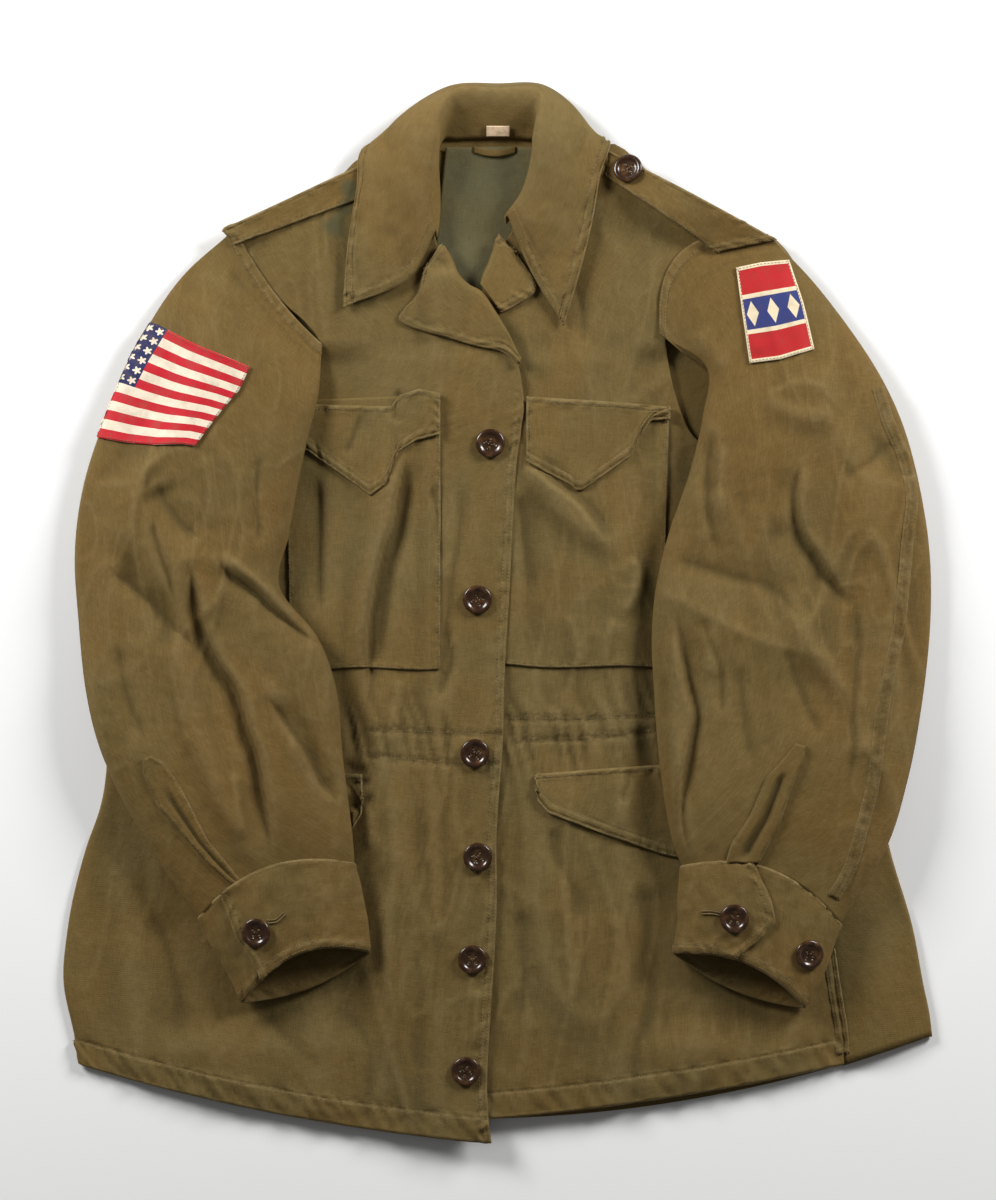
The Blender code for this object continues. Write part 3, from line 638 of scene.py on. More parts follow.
# Right front from hem to shoulder: side seam, front edge, sag of the row.
RIGHT_FRONT = (
    (-328, -354, -5, -415, -9), (-332, -330, -8, -385, -9), (-340, -291, -8, -350, -5),
    (-337, -248, -5, -303, 0), (-323, -186, -1, -225, 0), (-311, -151, -1, -170, 0),
    (-307, -127, 2, -126, 0), (-305, -97, 4, -97, 0), (-302, -61, 5, -53, 0),
    (-296, 10, 9, 18, 0), (-285, 72, 12, 80, 0), (-280, 100, 14, 111, 0),
    (-221, 135, 18, 143, 0), (-163, 169, 20, 169, 0), (-139, 205, 11, 206, 0),
    (-149, 225, -13, 240, 0), (-168, 242, -32, 261, 0), (-185, 258, -45, 281, 0),
    (-205, 289, -53, 362, 9),
)

# Left front from hem to shoulder: front edge, side seam, sag of the row.
LEFT_FRONT = (
    (-34, -398, 271, -354, -6), (-34, -373, 269, -330, -6), (-33, -338, 265, -307, -3),
    (-32, -291, 260, -268, 0), (-31, -225, 252, -209, 0), (-30, -170, 250, -158, 0),
    (-29, -127, 252, -128, 0), (-28, -97, 253, -98, 0), (-27, -49, 256, -61, 0),
    (-26, 18, 264, 10, 0), (-23, 72, 272, 57, 0), (-22, 111, 277, 92, 0),
    (-21, 143, 209, 113, 0), (-20, 169, 153, 138, 0), (-19, 190, 139, 170, 0),
    (-17, 213, 132, 204, 0), (-14, 237, 131, 225, 0), (-8, 268, 133, 252, 0),
    (12, 300, 145, 272, 0), (35, 352, 169, 278, 26),
)

# Back from hem to shoulders: right side seam, left fold, left side seam on the face, sag.
BACK = (
    (-327, -352, 340, -332, 272, -355, -54), (-331, -330, 338, -315, 270, -331, -50),
    (-339, -291, 333, -291, 266, -307, -30), (-336, -248, 325, -248, 261, -268, -10),
    (-322, -186, 307, -186, 253, -209, 0), (-310, -147, 299, -147, 251, -158, 0),
    (-304, -97, 296, -97, 254, -98, 0), (-301, -61, 294, -61, 257, -61, 0),
    (-295, 10, 289, 10, 265, 10, 0), (-285, 72, 285, 65, 273, 57, 0),
    (-279, 100, 283, 96, 279, 94, 0), (-256, 123, 266, 123, 262, 123, 4),
    (-233, 154, 248, 158, 244, 158, 8), (-219, 197, 232, 205, 228, 205, 14),
    (-211, 244, 222, 248, 218, 248, 36), (-203, 287, 216, 287, 212, 287, 78),
)

# Sleeves and cuffs: outer edge, inner edge, bow of the upper layer, draw of the lower layer in
# x and y, and how full the tube is.
RIGHT_SLEEVE = (
    (-211, 295, -138, 205, 5, -104, -142, 0.00), (-245, 265, -140, 172, 0, -95, -127, 0.62),
    (-276, 220, -148, 138, 0, -76, -101, 0.90), (-303, 162, -156, 101, 0, -55, -72, 1.00),
    (-324, 100, -163, 61, 0, -30, -40, 1.00), (-331, 45, -170, 19, 0, -5, -12, 1.00),
    (-328, -6, -141, -19, 0, 0, 0, 0.96), (-322, -61, -126, -61, 0, 0, 0, 0.96),
    (-310, -108, -121, -113, 0, 0, 0, 1.00), (-289, -154, -116, -153, -3, 0, 0, 1.00),
    (-262, -199, -113, -179, -11, 0, 0, 0.96), (-233, -240, -112, -197, -20, 1, -3, 0.88),
)
LEFT_SLEEVE = (
    (217, 289, 131, 215, -34, 100, -150, 0.00), (247, 258, 163, 191, -17, 83, -138, 0.62),
    (275, 222, 160, 154, -5, 72, -114, 0.90), (299, 185, 150, 111, 0, 64, -88, 1.00),
    (318, 143, 133, 61, 0, 54, -60, 1.00), (331, 92, 123, 18, 0, 29, -37, 1.00),
    (338, 41, 120, -22, 0, 6, -13, 0.96), (338, -10, 122, -65, 0, 0, 0, 0.96),
    (332, -68, 125, -108, 0, 0, 0, 1.00), (321, -127, 130, -147, -3, 0, 0, 1.00),
    (303, -184, 136, -178, -13, 0, 0, 0.96), (267, -244, 144, -199, -22, -1, -3, 0.88),
)
RIGHT_CUFF = (
    (-233, -240.7, -112, -197.7, -20, 1, -3, 0.88), (-222, -262, -106, -221, -20, 2, -5, 0.88),
    (-210, -283, -102, -242, -20, 2, -6, 0.86), (-199, -305, -100, -266, -20, 3, -8, 0.84),
)
LEFT_CUFF = (
    (267, -245.2, 144, -200.8, -22, -1, -3, 0.88), (260, -265, 142, -222, -20, -2, -5, 0.88),
    (251, -287, 141, -245, -17, -2, -6, 0.86), (239, -309, 138, -267, -15, -3, -8, 0.84),
)

# Hidden run of each armhole, from the shoulder down the back's edge and up the front's edge.
RIGHT_ARMHOLE = (
    (-206, 290, 0.6), (-214, 240, 0.5), (-226, 186, 0.5), (-254, 133, 0.8), (-286, 104, 2.8),
    (-276, 108, 9.8), (-214, 139, 10.6), (-168, 166, 10.8), (-143, 196, 10.8),
)
LEFT_ARMHOLE = (
    (220, 290, 0.6), (225, 249, 0.5), (240, 200, 0.5), (268, 140, 0.8), (290, 106, 2.8),
    (262, 118, 9.8), (214, 153, 10.6), (172, 186, 10.8), (142, 205, 11.0),
)

# Collar from the right front end round the neck to the left one: seam, roll, outermost turn
# and edge of the fall, each as x, y, z.
COLLAR = (
    (-47, 293, 12.5, -47, 297, 15, -67, 263, 16.5, -121, 238, 14.5),
    (-45, 311, 9, -52, 319, 22, -86, 292, 21, -120, 260, 15.5),
    (-45, 330, 8, -52, 344, 28, -88, 326, 25, -117, 293, 16),
    (-46, 350, 7, -48, 370, 31, -88, 358, 24, -111, 331, 16),
    (-46, 361, 7, -46, 384, 30, -86, 377, 20, -106, 362, 9),
    (-43, 369, 6.5, -42, 397, 28, -73, 391, 13, -82, 357, 0.2),
    (-33, 370, 6.5, -33, 410, 21, -41, 411, 8, -45, 344, 0.2),
    (-5, 371, 6.5, 0, 411, 18, 0, 414, 7, 0, 341, 0.2),
    (22, 370, 6.5, 33, 410, 21, 40, 411, 8, 48, 344, 0.2),
    (31, 367, 6.5, 34, 397, 28, 62, 392, 13, 78, 361, 0.2),
    (30, 358, 7, 30, 380, 30, 68, 377, 20, 88, 368, 9),
    (25, 350, 7, 28, 360, 30, 60, 348, 25, 80, 341, 16),
    (21, 333, 8, 24, 342, 27, 52, 322, 24, 75, 310, 16),
    (15, 318, 9, 16, 325, 21, 42, 288, 21, 67, 276, 15.5),
    (5, 304, 12.5, 5, 309, 15, 26, 265, 16.5, 52, 224, 14.5),
)

# Lapels along their roll line: roll point and free edge point.
RIGHT_LAPEL = (
    (-45, 288, -58, 268), (-38, 281, -63, 250), (-30, 264, -77, 229), (-22, 256, -57, 219),
    (-13, 251, -39, 214), (-1, 234, -18, 208), (9, 217, 3, 203), (18, 198, 16, 192),
)
LEFT_LAPEL = (
    (-14, 257, 3, 234), (-12, 264, 11, 238), (-8, 273, 20, 243), (-4, 284, 30, 252),
    (0, 296, 14, 282),
)

# Broad folds of each piece: start, end, sideways bend, half width and height.
FOLDS = {
    "front_right": (
        (-76, 132, -110, -52, -4, 13, 3.6), (-66, 118, -92, -40, -4, 6, -2.4),
        (-30, 150, -34, -70, 4, 14, 1.6), (-60, -120, -78, -330, 8, 22, 3.0),
        (-250, -250, -210, -390, 6, 22, 3.2), (-150, -300, -140, -395, 4, 20, 2.6),
        (-300, -190, -280, -350, 5, 14, 2.0),
    ),
    "front_left": (
        (20, 118, 92, 48, -6, 9, 3.0), (26, 92, 30, -40, 0, 11, -2.6), (62, 100, 66, -60, 3, 13, 2.2),
        (40, -130, 60, -330, -6, 22, 3.0), (100, -125, 96, -172, 0, 7, 2.6),
        (130, -230, 150, -370, 6, 24, 3.2), (215, -240, 232, -350, 5, 16, 2.4),
    ),
    "sleeve_right": (
        (-243, 48, -178, -206, -26, 10, 5.0), (-228, 44, -150, -22, 10, 8, 3.6),
        (-276, 98, -262, 10, -4, 12, 3.0), (-306, 58, -250, -30, 4, 12, -4.0),
        (-182, -52, -152, -118, 4, 8, 3.6), (-170, -70, -124, -170, 8, 8, -3.0),
        (-226, 262, -160, 190, 10, 9, 3.0),
    ),
    "sleeve_left": (
        (234, 112, 276, -68, -28, 10, 5.0), (219, 72, 228, 14, 0, 9, -4.0),
        (142, -14, 152, -190, -8, 7, 4.2), (160, -10, 168, -50, 2, 7, 3.0),
        (172, 96, 168, 56, 0, 9, 3.4), (208, 168, 262, 152, -6, 9, 3.0),
        (150, 218, 176, 190, 4, 8, 3.6),
    ),
}

# Waist gathers: first x, last x, height of the line, count.
GATHERS = {"front_right": (-118, -40, -104, 8), "front_left": (12, 120, -94, 10)}

# Creases of each piece: height, half width to the left and to the right, then x and y of each spot
# on the line in turn.
CREASES = {
    "front_right": creases(
        (3.4, 4, 15, -75, 127, -81, 88, -85, 68, -92, 49, -98, 29, -102, 10, -104, -6, -105, -25, -105,
        -47),
        (-3.4, 4, 16, -141, 111, -139, 72, -139, 33, -138, -6),
        (-5.5, 16, 3, -70, 127, -77, 88, -80, 68, -88, 49, -93, 29, -96, 10, -99, -6, -100, -25, -100,
        -49, -99, -78),
        (-2.4, 6, 6, -53, 105, -48, 80, -45, 53, -42, 32),
        (-2.6, 3, 7, -41, -4, -38, -22, -36, -40, -43, -57, -50, -73),
        (2.4, 4, 4, -76, -47, -79, -68, -82, -90, -83, -114),
        (-1.8, 9, 5, -28, 111, -30, 65, -38, 10, -42, -37, -45, -72),
        (-1.8, 5, 3, -107, 157, -114, 135, -120, 122),
        (-2.2, 6, 3, -77, 176, -80, 162, -81, 147),
        (-2.4, 3, 5, -121, -115, -111, -123, -99, -122),
        (-2.4, 4, 3, -119, -140, -109, -133, -97, -131),
        (-2.4, 3, 4, -114, -156, -106, -147, -95, -144),
        (2.2, 6, 6, -120, -128, -104, -151, -98, -190),
        (1.8, 10, 5, -86, -122, -80, -190, -88, -260, -84, -330),
        (-2.0, 14, 10, -61, -139, -55, -209, -48, -272, -53, -334),
        (2.2, 8, 5, -16, -291, -17, -319, -19, -342),
        (-2.0, 16, 9, -272, -229, -256, -272, -250, -311, -255, -342),
        (-1.8, 12, 12, -190, -311, -163, -334, -131, -362),
    ),
    "front_left": creases(
        (3.6, 3, 9, 19, 118, 40, 100, 59, 86, 71, 72, 82, 56, 90, 50),
        (-2.4, 9, 3, 29, 118, 50, 100, 67, 86, 80, 71, 88, 57),
        (2.8, 3, 7, 103, 47, 110, 32, 106, 12, 96, -6),
        (1.5, 5, 6, 54, 2, 61, -21, 65, -52),
        (1.2, 4, 6, 92, -2, 85, -23, 83, -50),
        (-3.0, 8, 6, 17, 97, 20, 58, 24, 36, 28, 10),
        (-2.2, 4, 4, 103, -122, 100, -137, 96, -151),
        (-2.8, 12, 8, 40, -159, 44, -184, 59, -218, 64, -248),
        (1.8, 8, 4, 60, -122, 52, -190, 56, -270, 60, -340),
        (-2.2, 14, 9, 111, -209, 117, -256, 111, -303),
        (-1.6, 9, 9, 45, 283, 64, 244, 69, 205),
        (-2.0, 12, 8, 17, -225, 20, -272, 17, -326),
    ),
    "sleeve_right": creases(
        (2.8, 14, 3, -239, 47, -233, 20, -224, -19, -215, -37, -199, -63, -191, -90, -183, -113, -179,
        -136, -175, -160, -172, -190),
        (2.2, 6, 9, -213, 50, -202, 36, -188, 25, -177, 16, -163, 5, -150, -7),
        (-6.5, 3, 15, -242, 47, -237, 20, -228, -19, -220, -37, -204, -63, -196, -90, -188, -113, -184,
        -136, -180, -160, -177, -196),
        (-4.6, 4, 8, -219, 47, -210, 31, -196, 20, -186, 12, -176, 2, -165, -7, -152, -17, -136, -25),
        (-4.2, 13, 13, -267, 101, -255, 79, -243, 65, -229, 57),
        (-2.4, 4, 4, -270, 78, -264, 49, -256, 25, -251, 4),
        (-3.8, 14, 11, -307, 36, -282, 18, -256, -8, -235, -27, -223, -37),
        (-4.2, 11, 3, -178, -66, -165, -86, -147, -113, -137, -133, -121, -151),
        (2.0, 5, 5, -206, -119, -202, -151, -197, -179),
        (1.8, 6, 6, -230, 126, -224, 96, -227, 65),
        (-2.0, 6, 6, -185, 126, -188, 88, -185, 50),
        (-2.2, 9, 9, -297, -22, -288, -68, -272, -104),
        (-1.8, 6, 8, -222, 283, -202, 274, -185, 252),
    ),
    "sleeve_left": creases(
        (-4.2, 4, 16, 235, 121, 230, 81, 233, 65, 246, 44, 256, 29, 267, 13, 282, 2),
        (2.8, 13, 3, 240, 118, 235, 81, 238, 65, 250, 44, 260, 29, 272, 13),
        (-4.4, 8, 3, 139, 2, 149, -57, 154, -77, 150, -105, 145, -133, 145, -170, 152, -196),
        (2.6, 3, 9, 135, -2, 143, -57, 149, -77, 145, -105, 139, -133, 140, -170),
        (3.2, 16, 26, 111, 25, 150, 5, 193, -17, 236, -31, 275, -40),
        (-3.6, 18, 14, 133, 44, 174, 30, 213, 18, 246, -12),
        (-2.2, 4, 7, 158, 0, 165, -22, 173, -45, 175, -84),
        (-2.8, 9, 8, 167, 143, 163, 104, 164, 76, 172, 41),
        (2.0, 5, 6, 175, 135, 172, 96, 173, 65),
        (-2.4, 4, 8, 278, 18, 281, -35, 277, -77, 277, -105, 271, -147),
        (1.2, 7, 8, 207, 165, 228, 178, 251, 176, 267, 157),
        (-2.2, 11, 11, 267, 104, 288, 117, 308, 135),
        (-1.8, 10, 8, 189, -37, 191, -80, 199, -123),
        (-2.0, 9, 7, 222, -22, 235, -61, 253, -100),
    ),
}

# Chest flaps and hip flaps from their front end out: top and bottom edge, each as (x, y).
FLAPS: dict[str, tuple[Outline, Outline]] = {
    "chest_flap_right": (
        ((-168, 164), (-142, 163), (-84, 161), (-77, 170), (-62, 175), (-45, 171)),
        ((-168, 137), (-156, 131), (-132, 114), (-112, 100), (-100, 91), (-88, 100), (-83, 114),
         (-78, 125), (-64, 134), (-45, 139)),
    ),
    "chest_flap_left": (
        ((22, 169), (86, 165), (135, 161)),
        ((22, 118), (57, 99), (61, 95), (66, 95), (103, 121), (113, 141), (120, 150), (135, 151)),
    ),
    "hip_flap_left": (
        ((29, -126), (80, -122), (127, -119), (240, -124)),
        ((29, -137), (31, -148), (39, -157), (84, -174), (127, -189), (150, -194), (240, -161)),
    ),
    "hip_flap_right": (
        ((-286, -126), (-200, -126), (-106, -126)),
        ((-286, -162), (-202, -194), (-140, -178), (-114, -170), (-107, -158), (-106, -147)),
    ),
}

BUTTONS = (
    ("button_front_1", -6, 132, "front_right"), ("button_front_2", -16, 10, "front_right"),
    ("button_front_3", -18, -110, "front_right"), ("button_front_4", -16, -191, "front_right"),
    ("button_front_5", -20, -271, "front_right"), ("button_front_6", -25, -358, "front_right"),
    ("button_cuff_right_1", -188, -249, "cuff_right"),
    ("button_cuff_left_1", 184, -238, "cuff_left"),
    ("button_cuff_left_2", 242, -266, "cuff_left"),
    ("button_strap_left", 102, 346, "shoulder_strap_left"),
)


def flattened_tube(row: dict[str, Array], turn: Array, outset: Array, piece: str) -> Array:
    """Points of a flattened tube round its sections.

    Args:
        row: The table's columns, a value for each row.
        turn: Place round the tube, rows by columns: 0 is the outer edge, 0.5 the inner one, and
            the upper layer lies between them.
        outset: How far each point is moved out.
        piece: Name of the folds that shape the upper layer, or an empty string.

    Returns:
        Points in rows and columns.
    """
    edge_height, full_height = 7.0, 25.0
    outer = np.stack([row["outer_x"], row["outer_y"]], axis=-1)
    inner = np.stack([row["inner_x"], row["inner_y"]], axis=-1)
    ahead = np.gradient((outer + inner) / 2, axis=0)
    ahead /= np.linalg.norm(ahead, axis=1, keepdims=True)
    angle = 2 * math.pi * turn
    cosine, sine = np.cos(angle), np.sin(angle)
    across = 0.5 - 0.5 * np.sign(cosine) * np.abs(cosine) ** 0.85
    upper = sine >= 0
    bow = row["bow_up"][:, None, None] * ahead[:, None]
    drawn = np.stack([row["low_dx"], row["low_dy"]], axis=-1)[:, None]
    shift = np.where(upper[..., None], bow, drawn) * (4 * across * (1 - across))[..., None]
    widen = -outset * np.sign(cosine) * np.abs(cosine) ** 4
    direction = inner - outer
    direction /= np.linalg.norm(direction, axis=1, keepdims=True)
    plan = (
        outer[:, None] * (1 - across[..., None])
        + inner[:, None] * across[..., None]
        + shift
        + direction[:, None] * widen[..., None]
    )
    x, y = plan[..., 0], plan[..., 1]
    fill = row["fill"][:, None]
    lift = np.abs(sine)
    rise = edge_height + (full_height * fill - edge_height * fill) * lift**0.72
    low = edge_height * (1 - lift**0.45)
    height = np.where(upper, rise * fill + 1.2 * (1 - fill), low * fill)
    folds = fold_height(piece, x, y) * 0.8 + 1.3 * creases_lift(CREASES.get(piece, ()), x, y)
    folds = folds + 0.7 * soft_noise(x * 0.8, y * 0.5, 26, 41) + 0.25 * soft_noise(x, y, 11, 42)
    folds = folds + 2.3 * crumple(x * 1.2, y * 0.62, 43) - 0.6
    folds = folds * np.where(upper, ramp(lift, 0.02, 0.5), 0) * fill
    z = LAY.under_sleeve(x, y) + height + folds + outset * np.where(upper, lift, -lift)
    return np.stack([x, y, z], axis=-1)


TUBE_COLUMNS = ("outer_x", "outer_y", "inner_x", "inner_y", "bow_up", "low_dx", "low_dy", "fill")


def tube_rows(table: Sequence[Any], at: Array) -> dict[str, Array]:
    """A tube table's columns at positions along it."""
    return dict(zip(TUBE_COLUMNS, curve_through(table, at).T))


# ---- shader maths


def math_method(operation: str, swapped: bool = False) -> Callable[..., Signal]:
    """Make a method of signals from a Math node.

    Args:
        operation: What the node does.
        swapped: Whether the other value comes first.

    Returns:
        The method, which takes the other value, if any, and returns the node's output.
    """

    def method(self: Signal, other: Any = 0.0) -> Signal:
        """Add the node and return its output."""
        pair = [other, self] if swapped else [self, other]
        return self.book.node("ShaderNodeMath", {"operation": operation}, pair)

    return method


class Signal:
    """A node's output socket, which takes part in Python expressions as a number would."""

    def __init__(self, book: NodeBook, socket: bpy.types.NodeSocket) -> None:
        """Wrap a socket of a book's tree."""
        self.book, self.socket = book, socket

    __add__ = __radd__ = math_method("ADD")
    __sub__, __rsub__ = math_method("SUBTRACT"), math_method("SUBTRACT", True)
    __mul__ = __rmul__ = math_method("MULTIPLY")
    __truediv__, __pow__ = math_method("DIVIDE"), math_method("POWER")
    __mod__ = math_method("FLOORED_MODULO")
    __gt__, __lt__ = math_method("GREATER_THAN"), math_method("LESS_THAN")
    sine, absolute = math_method("SINE"), math_method("ABSOLUTE")
    most, least = math_method("MAXIMUM"), math_method("MINIMUM")

    def clamp(self) -> Signal:
        """Held between 0 and 1."""
        return self.most(0.0).least(1.0)

    def between(self, low: float, high: float) -> Signal:
        """Smooth step from 0 at low to 1 at high."""
        settings = {"interpolation_type": "SMOOTHSTEP"}
        return self.book.node("ShaderNodeMapRange", settings, [self, low, high, 0.0, 1.0])


class NodeBook:
    """Builds one material's node tree."""

    def __init__(self, name: str) -> None:
        """Start a material with a Principled shader."""
        self.material = bpy.data.materials.new(name)
        self.material.use_nodes = True
        self.tree = self.material.node_tree
        self.shader = self.tree.nodes["Principled BSDF"]

    def node(self, kind: str, settings: dict[str, Any], inputs: Any = (), output: Any = 0) -> Signal:
        """Add a node.

        Args:
            kind: The node's Blender type.
            settings: Its properties, set before its sockets.
            inputs: Values or signals of its sockets, as a list or by name.
            output: Name or number of the socket that is returned.

        Returns:
            The chosen output.
        """
        made = self.tree.nodes.new(kind)
        for key, value in settings.items():
            setattr(made, key, value)
        pairs = inputs.items() if isinstance(inputs, dict) else enumerate(inputs)
        for key, value in pairs:
            socket = made.inputs[key]
            if isinstance(value, Signal):
                self.tree.links.new(value.socket, socket)
            elif value is not None:
                socket.default_value = value
        return Signal(self, made.outputs[output])

    def mark(self, name: str) -> Signal:
        """A number that the mesh carries at each point."""
        return self.node("ShaderNodeAttribute", {"attribute_name": name}, (), "Fac")

    def cloth(self) -> Signal:
        """Flat coordinates along the cloth, in metres."""
        return self.node("ShaderNodeUVMap", {"uv_map": "cloth"})

    def place(self) -> Signal:
        """Coordinates of the jacket's frame, in metres."""
        return self.node("ShaderNodeTexCoord", {}, (), "Object")

    def stretched(self, vector: Signal, scale: tuple[float, float, float]) -> Signal:
        """Coordinates scaled on each axis."""
        return self.node("ShaderNodeMapping", {}, {"Vector": vector, "Scale": scale})

    def noise(self, vector: Signal, scale: float, detail: float = 2.0) -> Signal:
        """Noise from 0 to 1 with so many features a metre."""
        inputs = {"Vector": vector, "Scale": scale, "Detail": detail}
        return self.node("ShaderNodeTexNoise", {}, inputs, "Fac")

    def mix(self, factor: Any, first: Any, second: Any) -> Signal:
        """Blend two colours.

        Args:
            factor: Share of the second.
            first: Colour or signal.
            second: Colour or signal.

        Returns:
            The blended colour.
        """
        pair = [(*c, 1.0) if isinstance(c, tuple) else c for c in (first, second)]
        settings = {"data_type": "RGBA", "clamp_factor": True}
        inputs = {0: factor, 6: pair[0], 7: pair[1]}
        return self.node("ShaderNodeMix", settings, inputs, 2)

    def split(self, vector: Signal) -> tuple[Signal, Signal, Signal]:
        """The three numbers of a vector."""
        first = self.node("ShaderNodeSeparateXYZ", {}, [vector])
        outputs = first.socket.node.outputs
        return first, Signal(self, outputs[1]), Signal(self, outputs[2])

    def bump(self, height: Signal, distance: float, strength: float) -> Signal:
        """Normal of a fine relief whose height is given in shares of a distance in metres."""
        inputs = {"Height": height, "Distance": distance, "Strength": strength}
        return self.node("ShaderNodeBump", {}, inputs)

    def finish(self, links: dict[str, Signal], constants: dict[str, Any]) -> Material:
        """Connect the shader.

        Args:
            links: What varies over the surface, by socket name.
            constants: What is the same all over, by socket name.

        Returns:
            The finished material.
        """
        for key, value in constants.items():
            self.shader.inputs[key].default_value = value
        for key, signal in links.items():
            self.tree.links.new(signal.socket, self.shader.inputs[key])
        return self.material


@dataclass(frozen=True)
class Sateen:
    """Worn cotton sateen: fine slanting floats, ridges paled by wear and painted highlight, hollows
    darkened with painted shade.
    """

    name: str
    base: Colour
    # worn is the pale colour of wear and of painted highlight on crests; deep is the dark colour of random
    # dark tone and of painted shade.
    worn_and_lit: Colour = (0.27, 0.205, 0.095)
    deep: Colour = (0.055, 0.040, 0.013)
    damp: Colour = (0.075, 0.080, 0.040)
    warp_pitch: float = 0.00062

    def material(self) -> Material:
        """Make the cloth's material."""
        book = NodeBook(self.name)
        place, cloth = book.place(), book.cloth()
        blotch = book.noise(place, 9.0, 3.0)
        streak = book.noise(book.stretched(cloth, (60.0, 9.0, 1.0)), 1.0, 3.0)
        slub = book.noise(book.stretched(cloth, (820.0, 90.0, 1.0)), 1.0, 3.0)
        pick = book.noise(book.stretched(cloth, (90.0, 900.0, 1.0)), 1.0, 2.0)
        grain = book.noise(place, 620.0, 2.0)
        speck = book.noise(place, 210.0, 3.0)
        tone = (blotch - 0.5) * 0.42 + (streak - 0.5) * 0.40 + (speck - 0.5) * 0.30
        tone = tone + (slub - 0.5) * 0.80 + (pick - 0.5) * 0.62
        pale = tone.most(0.0) * 0.66 + (grain - 0.5).most(0.0) * 0.36
        dark = (tone * -1.0).most(0.0) * 0.95
        # Seam puckers follow the bump: rises are paled, as wear and painted highlight, and dips are
        # darkened with painted shade.
        ruck = book.noise(place, 230.0, 2.0) - 0.5
        seam = book.mark("seam") * ruck
        wear = book.mark("wear") * (0.55 + (speck - 0.35).most(0.0) * 1.5) + seam.most(0.0) * 1.1
        dark = dark + (seam * -1.0).most(0.0) * 1.5
        brown = tuple(c * f for c, f in zip(self.base, (1.03, 0.97, 0.90)))
        green = tuple(c * f for c, f in zip(self.base, (0.97, 1.01, 1.06)))
        colour = book.mix(book.noise(place, 14.0, 2.0).between(0.36, 0.64), brown, green)
        colour = book.mix(pale.clamp(), colour, self.worn_and_lit)
        # The deep mark darkens with painted shade in hollows, grooves, slits and towards the hem.
        colour = book.mix((dark + book.mark("deep") * 0.7).clamp(), colour, self.deep)
        # Pale the worn edges and seams, with painted highlight on the crests of folds and puckers.
        colour = book.mix((wear * 0.7).clamp(), colour, self.worn_and_lit)
        colour = book.mix(book.mark("stain"), colour, self.damp)
        u, v, _ = book.split(cloth)
        count = 2 * math.pi / self.warp_pitch
        floats = ((u * 0.94 + v * 0.34) * count).sine()
        fill = ((v * 0.94 - u * 0.34) * (count * 0.42)).sine()
        rumple = book.noise(place, 120.0, 3.0)
        weave = floats * 0.05 + fill * 0.03 + (grain - 0.5) * 0.12 + (slub - 0.5) * 0.14
        weave = weave + (rumple - 0.5) * 0.9 + seam * 1.7
        normal = book.bump(weave, 0.0011, 0.6)
        rough = 0.80 + (blotch - 0.5) * 0.12 - book.mark("wear") * 0.05
        constants = {
            "Specular IOR Level": 0.16,
            "Sheen Weight": 0.02,
            "Sheen Roughness": 0.45,
            "Sheen Tint": (0.75, 0.66, 0.45, 1.0),
        }
        links = {"Base Color": colour, "Normal": normal, "Roughness": rough}
        return book.finish(links, constants)


@dataclass(frozen=True)
class Thread:
    """Mercerised sewing thread."""

    name: str
    base: Colour

    def material(self) -> Material:
        """Make the thread's material."""
        book = NodeBook(self.name)
        place = book.place()
        twist = book.noise(place, 1500.0, 1.0)
        fade = book.noise(place, 45.0, 2.0)
        pale = tuple(min(1.0, c * 1.45) for c in self.base)
        dark = tuple(c * 0.55 for c in self.base)
        colour = book.mix(fade.between(0.3, 0.7), dark, pale)
        constants = {"Roughness": 0.6, "Specular IOR Level": 0.35}
        links = {"Base Color": colour, "Normal": book.bump(twist, 0.0001, 0.4)}
        return book.finish(links, constants)


@dataclass(frozen=True)
class MouldedButton:
    """Glossy dark brown moulded plastic with a faint swirl."""

    name: str = "moulded_button"
    base: Colour = (0.030, 0.012, 0.004)
    swirl: Colour = (0.085, 0.038, 0.013)

    def material(self) -> Material:
        """Make the button's material."""
        book = NodeBook(self.name)
        place = book.place()
        marble = book.noise(place, 180.0, 4.0)
        scuff = book.noise(place, 900.0, 3.0)
        colour = book.mix(marble.between(0.45, 0.75), self.base, self.swirl)
        rough = 0.22 + scuff.between(0.5, 0.8) * 0.2
        links = {"Base Color": colour, "Roughness": rough, "Normal": book.bump(scuff, 0.00003, 0.3)}
        return book.finish(links, {"Coat Weight": 0.15, "Coat Roughness": 0.2})


# ---- stitches


